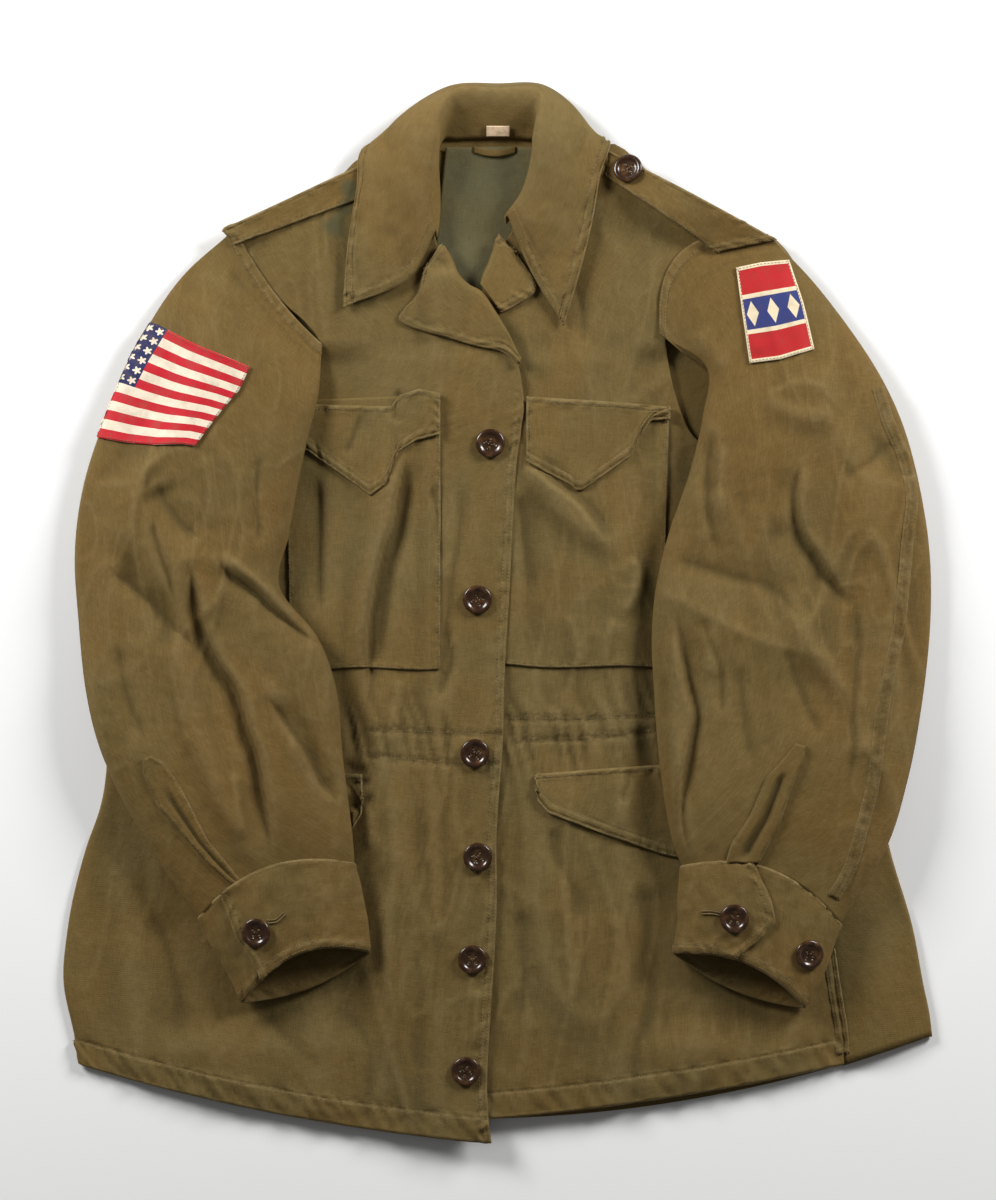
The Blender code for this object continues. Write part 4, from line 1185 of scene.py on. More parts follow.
def stitch_tree() -> bpy.types.NodeTree:
    """Build the Geometry Nodes tree that sews stitches along edges.

    Returns:
        A tree with inputs for the pitch, length and width of a stitch, its material and a seed.
    """
    tree = bpy.data.node_groups.new("stitch_rows", "GeometryNodeTree")
    face = tree.interface
    face.new_socket("Geometry", in_out="INPUT", socket_type="NodeSocketGeometry")
    for name, kind in (
        ("Pitch", "Float"), ("Length", "Float"), ("Width", "Float"), ("Seed", "Int"),
        ("Material", "Material"),
    ):
        face.new_socket(name, in_out="INPUT", socket_type=f"NodeSocket{kind}")
    face.new_socket("Geometry", in_out="OUTPUT", socket_type="NodeSocketGeometry")

    def add(kind: str, links: dict[Any, Any], **settings: Any) -> bpy.types.NodeSocket:
        """Add a node, set it up, connect its sockets and return its first output."""
        made = tree.nodes.new(kind)
        for key, value in settings.items():
            setattr(made, key, value)
        for key, value in links.items():
            if isinstance(value, bpy.types.NodeSocket):
                tree.links.new(value, made.inputs[key])
            else:
                made.inputs[key].default_value = value
        return made.outputs[0]

    get = tree.nodes.new("NodeGroupInput").outputs
    curve = add("GeometryNodeMeshToCurve", {"Mesh": get["Geometry"]})
    spaced = {"Curve": curve, "Length": get["Pitch"]}
    even = add("GeometryNodeResampleCurve", spaced, mode="LENGTH")
    up = add("GeometryNodeInputNamedAttribute", {"Name": "up"}, data_type="FLOAT_VECTOR")
    align = "FunctionNodeAlignRotationToVector"
    facing = add(align, {"Vector": add("GeometryNodeInputTangent", {})}, axis="X")
    upright = add(align, {"Rotation": facing, "Vector": up}, axis="Z", pivot_axis="X")
    spread = {0: (-0.05, -0.10, -0.20), 1: (0.05, 0.10, 0.06), "Seed": get["Seed"]}
    jitter = add("FunctionNodeRandomValue", spread, data_type="FLOAT_VECTOR")
    turn = add("FunctionNodeEulerToRotation", {"Euler": jitter})
    turns = {"Rotation": upright, "Rotate By": turn}
    turned = add("FunctionNodeRotateRotation", turns, rotation_space="LOCAL")
    size = add("ShaderNodeCombineXYZ", {"X": get["Length"], "Y": get["Width"], "Z": get["Width"]})
    bead = add("GeometryNodeMeshUVSphere", {"Segments": 4, "Rings": 3, "Radius": 0.5})
    lying = add("GeometryNodeTransform", {"Geometry": bead, "Rotation": (0.0, math.pi / 2, 0.0)})
    laid = {"Points": even, "Instance": lying, "Rotation": turned, "Scale": size}
    sewn = add("GeometryNodeInstanceOnPoints", laid)
    real = add("GeometryNodeRealizeInstances", {"Geometry": sewn})
    smooth = add("GeometryNodeSetShadeSmooth", {"Geometry": real})
    dressed = add("GeometryNodeSetMaterial", {"Geometry": smooth, "Material": get["Material"]})
    tree.links.new(dressed, tree.nodes.new("NodeGroupOutput").inputs[0])
    return tree


@dataclass
class Needle:
    """Sews rows of stitches as one mesh for each sub-assembly."""

    pitch: float = 2.7
    length: float = 2.3
    width: float = 0.62
    tree: bpy.types.NodeTree = field(default_factory=stitch_tree)

    def sew(self, name: str, lines: Sequence[Line3], material: Material, seed: int) -> Object:
        """Sew stitches along lines.

        Args:
            name: Name of the piece.
            lines: Points and normals of each row, in millimetres.
            material: The thread.
            seed: Which set of small differences between stitches.

        Returns:
            A plain mesh object with every stitch.
        """
        points, edges, ups = [], [], []
        for line, normals in lines:
            first = len(points)
            points += [tuple(p * MM) for p in line]
            ups += [tuple(n) for n in normals]
            edges += [(first + k, first + k + 1) for k in range(len(line) - 1)]
        mesh = bpy.data.meshes.new(f"{name}_lines")
        mesh.from_pydata(points, edges, [])
        up = mesh.attributes.new("up", "FLOAT_VECTOR", "POINT")
        up.data.foreach_set("vector", np.array(ups, np.float32).ravel())
        source = bpy.data.objects.new(f"{name}_lines", mesh)
        bpy.context.scene.collection.objects.link(source)
        modifier = source.modifiers.new("sew", "NODES")
        modifier.node_group = self.tree
        values = {
            "Pitch": self.pitch * MM,
            "Length": self.length * MM,
            "Width": self.width * MM,
            "Seed": seed,
            "Material": material,
        }
        for item in self.tree.interface.items_tree:
            if item.item_type == "SOCKET" and item.in_out == "INPUT" and item.name in values:
                modifier[item.identifier] = values[item.name]
        bpy.context.view_layer.update()
        evaluated = source.evaluated_get(bpy.context.evaluated_depsgraph_get())
        sewn = bpy.data.meshes.new_from_object(evaluated)
        bpy.data.objects.remove(source)
        return link(name, sewn, [])


def link(name: str, mesh: bpy.types.Mesh, materials: Sequence[Material]) -> Object:
    """Put a mesh in the scene.

    Args:
        name: The object's name.
        mesh: Its mesh.
        materials: Materials to give it, or none to keep its own.

    Returns:
        The new object.
    """
    mesh.name = name
    made = bpy.data.objects.new(name, mesh)
    for material in materials:
        mesh.materials.append(material)
    bpy.context.scene.collection.objects.link(made)
    return made


# ---- the wardrobe


@dataclass
class Wardrobe:
    """The finishes, the needle and the finished grids that all sub-assemblies share."""

    sateen: Material
    warm: Material
    # Painted light: a lighter copy of the olive cloth for the collar and lapels.
    light: Material
    inner: Material
    tape: Material
    thread: Material
    button: Material
    needle: Needle
    grids: dict[str, ClothGrid] = field(default_factory=dict)
    objects: dict[str, Object] = field(default_factory=dict)
    surfaces: dict[tuple[str, ...], Surface] = field(default_factory=dict)

    def cloth(
        self,
        name: str,
        grid: ClothGrid,
        material: Material,
        slot: str,
        replaces: Sequence[str],
        thickness: float = 1.2,
        flip: bool = False,
        cloth: Array | None = None,
    ) -> None:
        """Make a cloth piece from its grid and hang it on the frame.

        Args:
            name: The piece's name.
            grid: Its outer face.
            material: Its finish.
            slot: Not used.
            replaces: CAD nodes that it stands for.
            thickness: How thick the cloth is.
            flip: Whether the grid's faces look the other way.
            cloth: Flat coordinates, or None.
        """
        piece = link(f"{name}_cloth", grid.mesh(name, flip, cloth), [material])
        wall = piece.modifiers.new("wall", "SOLIDIFY")
        wall.thickness = thickness * MM
        wall.offset = -1.0
        self.ride(piece, replaces)
        self.grids[name], self.objects[name] = grid, piece

    def surface(self, *names: str) -> Surface:
        """The outer faces of finished pieces, to lay others on."""
        if names not in self.surfaces:
            self.surfaces[names] = Surface(*(self.grids[name] for name in names))
        return self.surfaces[names]

    def ride(self, piece: Object, replaces: Sequence[str] = ()) -> None:
        """Hang a piece on the frame, for the nodes that it stands for."""
        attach(piece, "root")
        if replaces:
            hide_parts(*replaces)
        LOG.info("%s: %d faces", piece.name, len(piece.data.polygons))

    def stitches(self, name: str, lines: Sequence[Line3], seed: int) -> None:
        """Sew the rows of a sub-assembly as one piece on the frame."""
        self.ride(self.needle.sew(name, lines, self.thread, seed))

    def panel(
        self,
        part: Any,
        grid: ClothGrid,
        material: Material,
        thickness: float = 1.2,
        flip: bool = False,
        nodes: Sequence[str] = (),
    ) -> None:
        """Make and sew a sub-assembly that is one sheet of olive cloth.

        Args:
            part: The sub-assembly, with its name, seed, flat size and area.
            grid: Its outer face, with its rows of stitches.
            material: Its finish.
            thickness: How thick the cloth is.
            flip: Whether the grid's faces look the other way.
            nodes: CAD nodes that it stands for, if not the one of its own name.
        """
        slot = "sateen" if material is self.sateen else "sateen_warm"
        self.cloth(part.name, grid, material, slot, nodes or [part.name], thickness, flip)
        self.stitches(f"{part.name}_stitches", grid.stitch_lines, part.seed)


# ---- sub-assemblies

PIXEL = 0.782
PHOTO_MIDDLE = (498.0, 612.5)


def seen(*spots: Spot) -> Outline:
    """Spots in the frame, from spots measured on the photo in pixels."""
    return tuple(((x - PHOTO_MIDDLE[0]) * PIXEL, (PHOTO_MIDDLE[1] - y) * PIXEL) for x, y in spots)


def four_corners(corners: Outline, across: Array, down: Array) -> tuple[Array, Array]:
    """Plan points between four corners, by shares from the first to the second and the fourth."""
    (ax, ay), (bx, by), (cx, cy), (dx, dy) = corners
    x = (ax * (1 - across) + bx * across) * (1 - down) + (dx * (1 - across) + cx * across) * down
    y = (ay * (1 - across) + by * across) * (1 - down) + (dy * (1 - across) + cy * across) * down
    return x, y


def along_line(outline: Sequence[Any], count: int) -> Array:
    """Evenly spaced points on a line through some spots, a row each."""
    rows = np.asarray(outline, float)
    run = run_along(rows)
    at = np.linspace(0, run[-1], count)
    return np.stack([np.interp(at, run, rows[:, k]) for k in range(rows.shape[1])], -1)


def coons(edges: Sequence[Outline], across: int, down: int) -> tuple[Array, Array]:
    """Plan points of a patch between four edges.

    Args:
        edges: Upper and lower edge from the first side to the last, then first and last side
            from the top down.
        across: Points along the top.
        down: Points down the sides.

    Returns:
        The points' x and y, in rows from the top down.
    """
    top, bottom, first, last = edges
    a, b = along_line(top, across)[None], along_line(bottom, across)[None]
    c, d = along_line(first, down)[:, None], along_line(last, down)[:, None]
    s, t = np.linspace(0, 1, across)[None, :, None], np.linspace(0, 1, down)[:, None, None]
    corners = (a[:, :1] * (1 - s) + a[:, -1:] * s) * (1 - t) + (b[:, :1] * (1 - s) + b[:, -1:] * s) * t
    plan = a * (1 - t) + b * t + c * (1 - s) + d * s - corners
    return plan[..., 0], plan[..., 1]


def laid_plan(table: Sequence[Any], at: Array, across: Array) -> tuple[Array, Array]:
    """Plan points of a panel from its table of two sides and a sag."""
    row = curve_through(table, at)
    x = row[:, 0:1] * (1 - across) + row[:, 2:3] * across
    y = row[:, 1:2] * (1 - across) + row[:, 3:4] * across + row[:, 4:5] * 4 * across * (1 - across)
    return x, y


def add_stain(grid: ClothGrid) -> None:
    """Mark the greenish stain by the wearer's right shoulder on a piece."""
    x, y = grid.points[..., 0], grid.points[..., 1]
    for spot_x, spot_y, size in ((-116, 331, 8), (-127, 303, 9), (-120, 317, 6)):
        away = np.hypot(x - spot_x, y - spot_y) + 2.5 * soft_noise(x, y, 6, 77)
        stain = 0.7 * (1 - ramp(away, 0.4 * size, 1.3 * size))
        grid.marks["stain"] = np.maximum(grid.marks["stain"], stain)


@dataclass
class BackPanel:
    """The back, flat on the table, which turns round the left fold onto the face."""

    fold_radius: float = 2.3
    seam_gap: float = -2.5
    flat: Spot = (0.69, 0.76)
    area: float = 0.43

    def build(self, shop: Wardrobe) -> None:
        """Make the back."""
        row = curve_through(BACK, stations(BACK, 6.0))
        side_x, side_y, fold_x, fold_y, seam_x, seam_y, sag = (row[:, k : k + 1] for k in range(7))
        u = np.linspace(0, 1, 52)[None]
        end = fold_x - self.fold_radius
        x = side_x * (1 - u) + end * u
        y = side_y * (1 - u) + fold_y * u + sag * 4 * u * (1 - u)
        y = y + 15 * ramp(fold_y, 250, 287) * np.exp(-(((np.abs(x + 6) - 98) / 20) ** 2))
        flat = np.stack([x, y, LAY.back(x, y)], -1)
        turn = np.linspace(-math.pi / 2, math.pi / 2, 9)[None, 1:]
        x = end + self.fold_radius * np.cos(turn)
        rise = self.fold_radius * (1 + np.sin(turn)) + 0 * x
        curl = np.stack([x, fold_y + 0 * x, rise], -1)
        w = np.linspace(0, 1, 24)[None, 1:]
        x = end * (1 - w) + (seam_x + self.seam_gap) * w
        y = fold_y * (1 - w) + seam_y * w
        soft = 3.0 * np.sin(math.pi * w) * ramp(fold_y, -120, -220) + 0.5 * soft_noise(x, y * 0.5, 22, 31)
        soft = soft * np.sin(math.pi * w) ** 0.5 - 1.9 * ramp(w, 0.86, 1)
        face = np.stack([x, y, 2 * self.fold_radius + soft + 0 * x], -1)
        grid = ClothGrid(np.concatenate([flat, curl, face], 1))
        grid.mark_forms()
        shop.cloth("back", grid, shop.sateen, "sateen", ["back"], flip=True)


@dataclass
class FrontPanel:
    """One front, with its turned hem and edge, waist tunnel and side seam."""

    name: str
    table: Sequence[Any]
    edge: Side
    seam: Side
    stitched: float
    tunnels: tuple[Outline, ...]
    flat: Spot
    area: float
    rests_on: tuple[str, ...]
    seed: int
    rolled: bool
    step: float = 3.0
    lowest: float = 1.3
    side_height: float = 2.5
    side_roll: float = 8.0
    hem: StitchedEdge = StitchedEdge(rows=(20.5,), fold=0.7, groove=1.1, drop=1.6, pucker=1.5)
    groove: float = 1.3

    def build(self, shop: Wardrobe) -> None:
        """Make the front and sew it."""
        at = stations(self.table, self.step, 24, 1.2)
        row = curve_through(self.table, at)
        width = np.hypot(row[:, 2] - row[:, 0], row[:, 3] - row[:, 1])
        x, y = laid_plan(self.table, at, across_fractions(width, 12, 12, 1.2, self.step))
        z = LAY.front(self.name, x, y)
        seam = np.zeros_like(x)
        for line in self.tunnels:
            away, _ = Path(line).measure(x, y, 12)
            seam = np.maximum(seam, np.exp(-((away / 6) ** 2)))
            z = z - (self.groove + 0.6 * soft_noise(x, y, 6, self.seed)) * np.exp(-((away / 1.9) ** 2))
        grid = ClothGrid(np.stack([x, y, z], -1))
        grid.marks["seam"] = seam
        if self.rolled:
            inset = np.clip(grid.run(self.seam) / self.side_roll, 0, 1)
            level = self.side_height + (z - self.side_height) * np.sqrt(1 - (1 - inset) ** 2)
            grid.points[..., 2] = np.where(y < 98, level, z)
        grid.mark_forms()
        grid.finish_edge(Side.FIRST_ROW, self.hem, self.seed)
        grid.finish_edge(self.edge, StitchedEdge(), self.seed + 4, span=(0.0, self.stitched))
        grid.points[..., 2] = np.maximum(grid.points[..., 2], self.lowest)
        add_stain(grid)
        # Painted shade: the front darkens towards the hem.
        soil_and_shade = 0.16 * (1 - ramp(grid.points[..., 1], -390, -230))
        grid.marks["deep"] = np.maximum(grid.marks["deep"], soil_and_shade)
        shop.cloth(self.name, grid, shop.sateen, "sateen", [self.name])
        lines = list(grid.stitch_lines)
        for line in self.tunnels:
            spots = Path(line).points
            lines.append(shop.surface(self.name).drop(spots[:, 0], spots[:, 1]))
        shop.stitches(f"{self.name}_stitches", lines, self.seed)


@dataclass
class Sleeve:
    """One sleeve, a flattened tube from the armhole to the cuff."""

    name: str
    table: Sequence[Any]
    armhole: Sequence[Any]
    flip: bool
    seed: int
    flat: Spot
    area: float
    columns: tuple[int, int] = (116, 24)
    step: float = 2.1
    seam: StitchedEdge = StitchedEdge(rows=(1.8, 8.0), fold=1.0, groove=0.6, roll=2.2, drop=1.4, pucker=0.6)

    def turns(self) -> Array:
        """Places round the tube, close together on the upper layer."""
        angle = np.linspace(0, math.pi, 400)
        x = -np.sign(np.cos(angle)) * np.abs(np.cos(angle)) ** 0.85 * 95
        z = 25 * np.sin(angle) ** 0.72
        run = np.concatenate([[0], np.cumsum(np.hypot(np.diff(x), np.diff(z)))])
        upper = np.interp(np.linspace(0, run[-1], self.columns[0]), run, angle) / (2 * math.pi)
        lower = np.linspace(0, 0.5, self.columns[1])
        first, last = lower[lower >= 0.25] - 0.5, lower[lower <= 0.25] + 0.5
        return np.concatenate([first[:-1], upper, last[1:]])

    def build(self, shop: Wardrobe) -> None:
        """Make the sleeve and sew its armhole seam."""
        at = np.concatenate([(-0.16, -0.12, -0.08, -0.04), stations(self.table, self.step, 12, 1.2)])
        turn = np.broadcast_to(self.turns(), (len(at), len(self.turns())))
        rows = tube_rows(self.table, at)
        rows["fill"] = np.maximum(rows["fill"], 0)
        points = flattened_tube(rows, turn, 0 * turn, self.name)
        place = np.mod(turn[0], 1)
        start = points[0]
        inner, outer = start[np.abs(place - 0.5).argmin()], start[np.abs(turn[0]).argmin()]
        knots = np.interp(place, (0.5, 0.52, 0.93, 1.0), (0, 1, 9, 10))
        path = curve_through([inner, *self.armhole[::-1], outer], knots)
        path[:, 2] = np.maximum(path[:, 2], 0.5)
        shift = np.where((place > 0.5)[:, None], path - start, 0)
        grid = ClothGrid(points + (1 - ramp(at, 0, 1))[:, None, None] * shift[None])
        grid.mark_forms()
        upper = np.flatnonzero((turn[0] > 0.01) & (turn[0] < 0.49))
        share = grid.run(Side.FIRST_COLUMN)[0] / grid.run(Side.FIRST_COLUMN)[0, -1]
        span = (float(share[upper[0]]), float(share[upper[-1]]))
        index = (upper[0] / (len(place) - 1), upper[-1] / (len(place) - 1))
        sign = -1.0 if self.flip else 1.0
        grid.finish_edge(Side.FIRST_ROW, self.seam, self.seed, self.flip, span)
        rows = [grid.line_at(Side.FIRST_ROW, row, *index) for row in self.seam.rows]
        grid.stitch_lines = [(line, normals * sign) for line, normals in rows]
        nodes = [f"{self.name}_upper", f"{self.name}_under"]
        shop.panel(self, grid, shop.warm, flip=self.flip, nodes=nodes)


@dataclass
class Cuff:
    """One cuff, wound once round the wrist with its pointed end on top."""

    name: str
    table: Sequence[Any]
    start: float
    end: float
    point: float
    flip: bool
    seed: int
    rests_on: tuple[str, ...]
    flat: Spot = (0.30, 0.069)
    area: float = 0.0205
    wrap: float = 2.7
    outset: float = 0.9

    def build(self, shop: Wardrobe) -> None:
        """Make the cuff and sew its edges."""
        at = np.linspace(-0.12, len(self.table) - 1, 36)
        across = np.linspace(-1, 1, len(at))[:, None]
        wound = graded((0, 0.88, 112), (0.88, 1, 34))[None]
        pointed = self.point * (1 - np.abs(across)) * ramp(wound, 0.8, 1)
        turns = self.start - wound * (1 + self.start - self.end + pointed)
        lapped = self.wrap * ramp(wound, 0.72, 0.86) + self.outset + 0 * turns
        grid = ClothGrid(flattened_tube(tube_rows(self.table, at), turns, lapped, ""))
        x, y = grid.points[..., 0], grid.points[..., 1]
        uneven = 0.5 * soft_noise(x, y, 16, self.seed) + 0.25 * soft_noise(x, y, 7, self.seed + 1)
        grid.push(uneven, self.flip)
        grid.mark_forms()
        for side in (Side.LAST_ROW, Side.LAST_COLUMN):
            grid.finish_edge(side, StitchedEdge(rows=(2.2, 7.6)), self.seed, self.flip)
        grid.finish_edge(Side.FIRST_ROW, StitchedEdge(rows=(2.0,)), self.seed + 1, self.flip)
        shop.panel(self, grid, shop.warm, 1.6, self.flip)


@dataclass
class Collar:
    """The collar: stand, roll and fall in one, round the neck."""

    name: str = "collar"
    flat: Spot = (0.43, 0.125)
    area: float = 0.039
    seed: int = 300

    def build(self, shop: Wardrobe) -> None:
        """Make the collar and sew its edges."""
        last = len(COLLAR) - 1
        ends = np.linspace(0, 0.6, 12, endpoint=False)
        middle = np.linspace(0.6, last - 0.6, 150, endpoint=False)
        at = np.concatenate([ends, middle, last - ends[::-1]])
        sections = curve_through(COLLAR, at).reshape(len(at), 4, 3)
        steps = graded((0, 1, 14), (1, 2.7, 32), (2.7, 3, 14))
        grid = ClothGrid(np.stack([curve_through(section, steps) for section in sections]))
        points = grid.points
        points[..., 2] = np.maximum(points[..., 2], 1.1)
        x, y = points[..., 0], points[..., 1]
        seen_side = ramp(points[..., 2], 8, 14)
        uneven = 0.7 * soft_noise(x, y, 22, 61) + 0.3 * soft_noise(x, y, 9, 62)
        grid.push(uneven * seen_side, True)
        grid.mark_forms()
        edge = StitchedEdge(rows=(2.4, 8.4))
        grid.finish_edge(Side.LAST_COLUMN, edge, self.seed, True)
        for side in (Side.FIRST_ROW, Side.LAST_ROW):
            grid.finish_edge(side, edge, self.seed + 3, True, (0.3, 1.0))
        shop.panel(self, grid, shop.light, 1.8, True)


@dataclass
class Lapel:
    """A lapel that is turned back onto its front."""

    name: str
    table: Sequence[Any]
    front: str
    seed: int
    flat: Spot
    area: float

    def build(self, shop: Wardrobe) -> None:
        """Make the lapel and sew its edge."""
        rows = curve_through(self.table, np.linspace(0, len(self.table) - 1, 9 * len(self.table)))
        share = graded((0, 0.12, 7), (0.12, 1, 30))[None]
        x = rows[:, 0:1] * (1 - share) + rows[:, 2:3] * share
        y = rows[:, 1:2] * (1 - share) + rows[:, 3:4] * share
        lift = 2.9 + 3.6 * (1 - share) - 2.9 * np.exp(-share / 0.03)
        grid = ClothGrid(np.stack([x, y, LAY.front(self.front, x, y) + lift], -1))
        grid.mark_forms()
        for side in (Side.LAST_COLUMN, Side.LAST_ROW if self.front == "front_left" else Side.FIRST_ROW):
            grid.finish_edge(side, StitchedEdge(), self.seed)
        shop.panel(self, grid, shop.light, 1.8)


@dataclass
class ShoulderStrap:
    """A shoulder strap from under the collar to the armhole seam."""

    name: str
    corners: Outline
    arch: float
    flip: bool
    seed: int
    end_lift: float = 4.1
    flat: Spot = (0.027, 0.128)
    area: float = 0.0033

    def build(self, shop: Wardrobe) -> None:
        """Make the strap and sew its edges."""
        u = np.linspace(0, 1, 64)[:, None]
        x, y = four_corners(self.corners, np.linspace(0, 1, 20)[None], u)
        base = LAY.body(x, y) + 2.4 + self.end_lift * ramp(u, 0.6, 1)
        z = base + self.arch * np.sin(math.pi * u) ** 1.5 + 0.4 * soft_noise(x, y, 13, self.seed)
        grid = ClothGrid(np.stack([x, y, z], -1))
        grid.mark_forms()
        for side in LONG_SIDES:
            grid.finish_edge(side, StitchedEdge(rows=(2.4,)), self.seed, self.flip)
        grid.finish_edge(Side.LAST_ROW, StitchedEdge(rows=(3.0, 9.0)), self.seed + 1, self.flip)
        add_stain(grid)
        shop.panel(self, grid, shop.warm, 1.8, self.flip)


@dataclass
class ChestPocket:
    """A patch pocket on the chest."""

    name: str
    corners: Outline
    front: str
    seed: int
    lift: float = 1.9
    flat: Spot = (0.145, 0.213)
    area: float = 0.0290

    def build(self, shop: Wardrobe) -> None:
        """Make the pocket and sew its sides and bottom."""
        u = (graded((0, 9, 9), (9, 116, 54), (116, 125, 10)) / 125)[None]
        v = graded((0, 0.955, 90), (0.955, 1, 10))[:, None]
        x, y = four_corners(self.corners, u, v)
        y = y + 1.8 * np.sin(2 * math.pi * u + self.seed) * v**5
        full = np.sin(math.pi * u) ** 0.6 * np.sin(math.pi * np.clip(v, 0, 1)) ** 0.6
        fill = 0.9 * full * (0.8 + 0.5 * soft_noise(x, y, 30, self.seed))
        z = LAY.front(self.front, x, y) + self.lift + fill
        grid = ClothGrid(np.stack([x, y, z], -1))
        grid.mark_forms()
        edge = StitchedEdge(rows=(2.0,), fold=0.5, groove=0.5, roll=1.4, drop=1.3, pucker=0.4)
        for side in (*LONG_SIDES, Side.LAST_ROW):
            grid.finish_edge(side, edge, self.seed, True)
        shop.panel(self, grid, shop.sateen, flip=True)


@dataclass
class PocketFlap:
    """A stitched flap over a pocket."""

    name: str
    front: str
    lift: float
    seed: int
    flat: Spot
    area: float
    size: tuple[int, int] = (120, 40)
    curl: float = 1.2

    def build(self, shop: Wardrobe) -> None:
        """Make the flap and sew its edges."""
        top, bottom = FLAPS[self.name]
        count, deep = self.size
        warp = np.linspace(0, 1, count)
        warp = warp - 0.035 * np.sin(2 * math.pi * warp)
        ends = []
        for outline in (top, bottom):
            line = along_line(outline, 400)
            ends.append(line[(warp * 399).round().astype(int)])
        v = graded((0, 0.1, 5), (0.1, 0.8, deep - 17), (0.8, 1, 12))[:, None, None]
        plan = ends[0][None] * (1 - v) + ends[1][None] * v
        x, y = plan[..., 0], plan[..., 1]
        corner = np.abs(2 * warp[None] - 1) ** 4 * v[..., 0] ** 3
        z = LAY.front(self.front, x, y) + self.lift + self.curl * corner
        z = z + 0.7 * np.sin(math.pi * v[..., 0]) + 0.4 * soft_noise(x, y, 18, self.seed)
        grid = ClothGrid(np.stack([x, y, z], -1))
        flip = grid.faces_down()
        grid.mark_forms()
        grid.finish_edge(Side.LAST_ROW, StitchedEdge(rows=(2.6, 8.6)), self.seed, flip)
        grid.finish_edge(Side.FIRST_ROW, StitchedEdge(rows=(4.5,), roll=2.0), self.seed + 1, flip)
        for side in LONG_SIDES:
            grid.finish_edge(side, StitchedEdge(rows=(2.4,)), self.seed + 2, flip)
        shop.panel(self, grid, shop.sateen, 1.6, flip)


@dataclass
class FelledSeam:
    """A flat felled seam that stands proud of the cloth, with two rows of stitching."""

    name: str
    line: Outline
    carriers: tuple[str, ...]
    seed: int
    width: float = 10.5
    lift: float = 1.4
    rows: tuple[float, ...] = (-3.7, 3.7)

    def build(self, shop: Wardrobe) -> None:
        """Lay the seam on its carriers and sew it."""
        path = Path(self.line, 2.0)
        across = np.linspace(-0.5, 0.5, 15)
        plan = path.points[:, None] + path.across()[:, None] * (across * self.width)[None, :, None]
        surface = shop.surface(*self.carriers)
        places, normals = surface.drop(plan[..., 0], plan[..., 1])
        along = np.arange(len(path.points))[:, None] * 2.0 + 0 * across
        offset = across[None] * self.width + 0 * along
        rise = self.lift * np.sqrt(np.clip(1 - np.abs(2 * across[None]) ** 6, 0, 1)) + 0.15
        for row in self.rows:
            rise = rise - 0.8 * np.exp(-(((offset - row) / 0.9) ** 2))
        rise = rise - 0.5 * self.lift * np.exp(-((offset / 2.4) ** 2))
        rise = rise + 0.9 * soft_noise(along, offset * 0.4, 5.5, self.seed) * (1 - np.abs(across[None]))
        grid = ClothGrid(places + normals * rise[..., None])
        flip = grid.faces_down()
        faded = 0.1 + 0.4 * soft_noise(along, offset, 7, self.seed + 1)
        grid.marks["wear"] = np.clip(faded + 0.6 * np.abs(2 * across[None]) ** 4, 0, 0.7)
        # Painted shade in the groove down the middle of the seam.
        grid.marks["deep"] = 0.45 * np.exp(-((offset / 3.2) ** 2))
        grid.marks["seam"] = 0.7 + 0 * offset
        on_sleeve = "sleeve" in self.carriers[0]
        material, slot = (shop.warm, "sateen_warm") if on_sleeve else (shop.sateen, "sateen")
        shop.cloth(self.name, grid, material, slot, [], 0.8, flip)
        sewn = shop.surface(self.name)
        lines = []
        for row in self.rows:
            spots = path.points + path.across() * row
            lines.append(sewn.drop(spots[:, 0], spots[:, 1]))
        shop.stitches(f"{self.name}_stitches", lines, self.seed)


@dataclass
class SleeveVent:
    """The narrow faced slit above a cuff."""

    name: str
    left: Outline
    right: Outline
    sleeve: str
    seed: int
    lift: float = 1.8
    slit: float = 0.11

    def build(self, shop: Wardrobe) -> None:
        """Lay the facing on the sleeve, cut its slit and sew it."""
        a, b = along_line(self.left, 60)[:, None], along_line(self.right, 60)[:, None]
        w = np.linspace(0, 1, 17)[None, :, None]
        plan = a * (1 - w) + b * w
        places, normals = shop.surface(self.sleeve).drop(plan[..., 0], plan[..., 1])
        down = np.linspace(0, 1, 60)[:, None]
        share = w[..., 0]
        slit = np.exp(-(((share - 0.5) / self.slit) ** 4)) * ramp(down, 0.22, 0.36)
        slit = slit * (1 - ramp(down, 0.9, 1))
        rise = self.lift * (ramp(np.minimum(share, 1 - share), 0.0, 0.08) - 0.95 * slit) + 0.3
        grid = ClothGrid(places + normals * rise[..., None])
        flip = grid.faces_down()
        # Painted shade down the open slit.
        grid.marks["deep"] = slit
        edge = StitchedEdge(rows=(1.8,), fold=0.9, roll=0.9, drop=0.5, pucker=0.5)
        for side in LONG_SIDES:
            grid.finish_edge(side, edge, self.seed, flip)
        shop.cloth(self.name, grid, shop.warm, "sateen_warm", [], 0.8, flip)
        shop.stitches(f"{self.name}_stitches", grid.stitch_lines, self.seed)


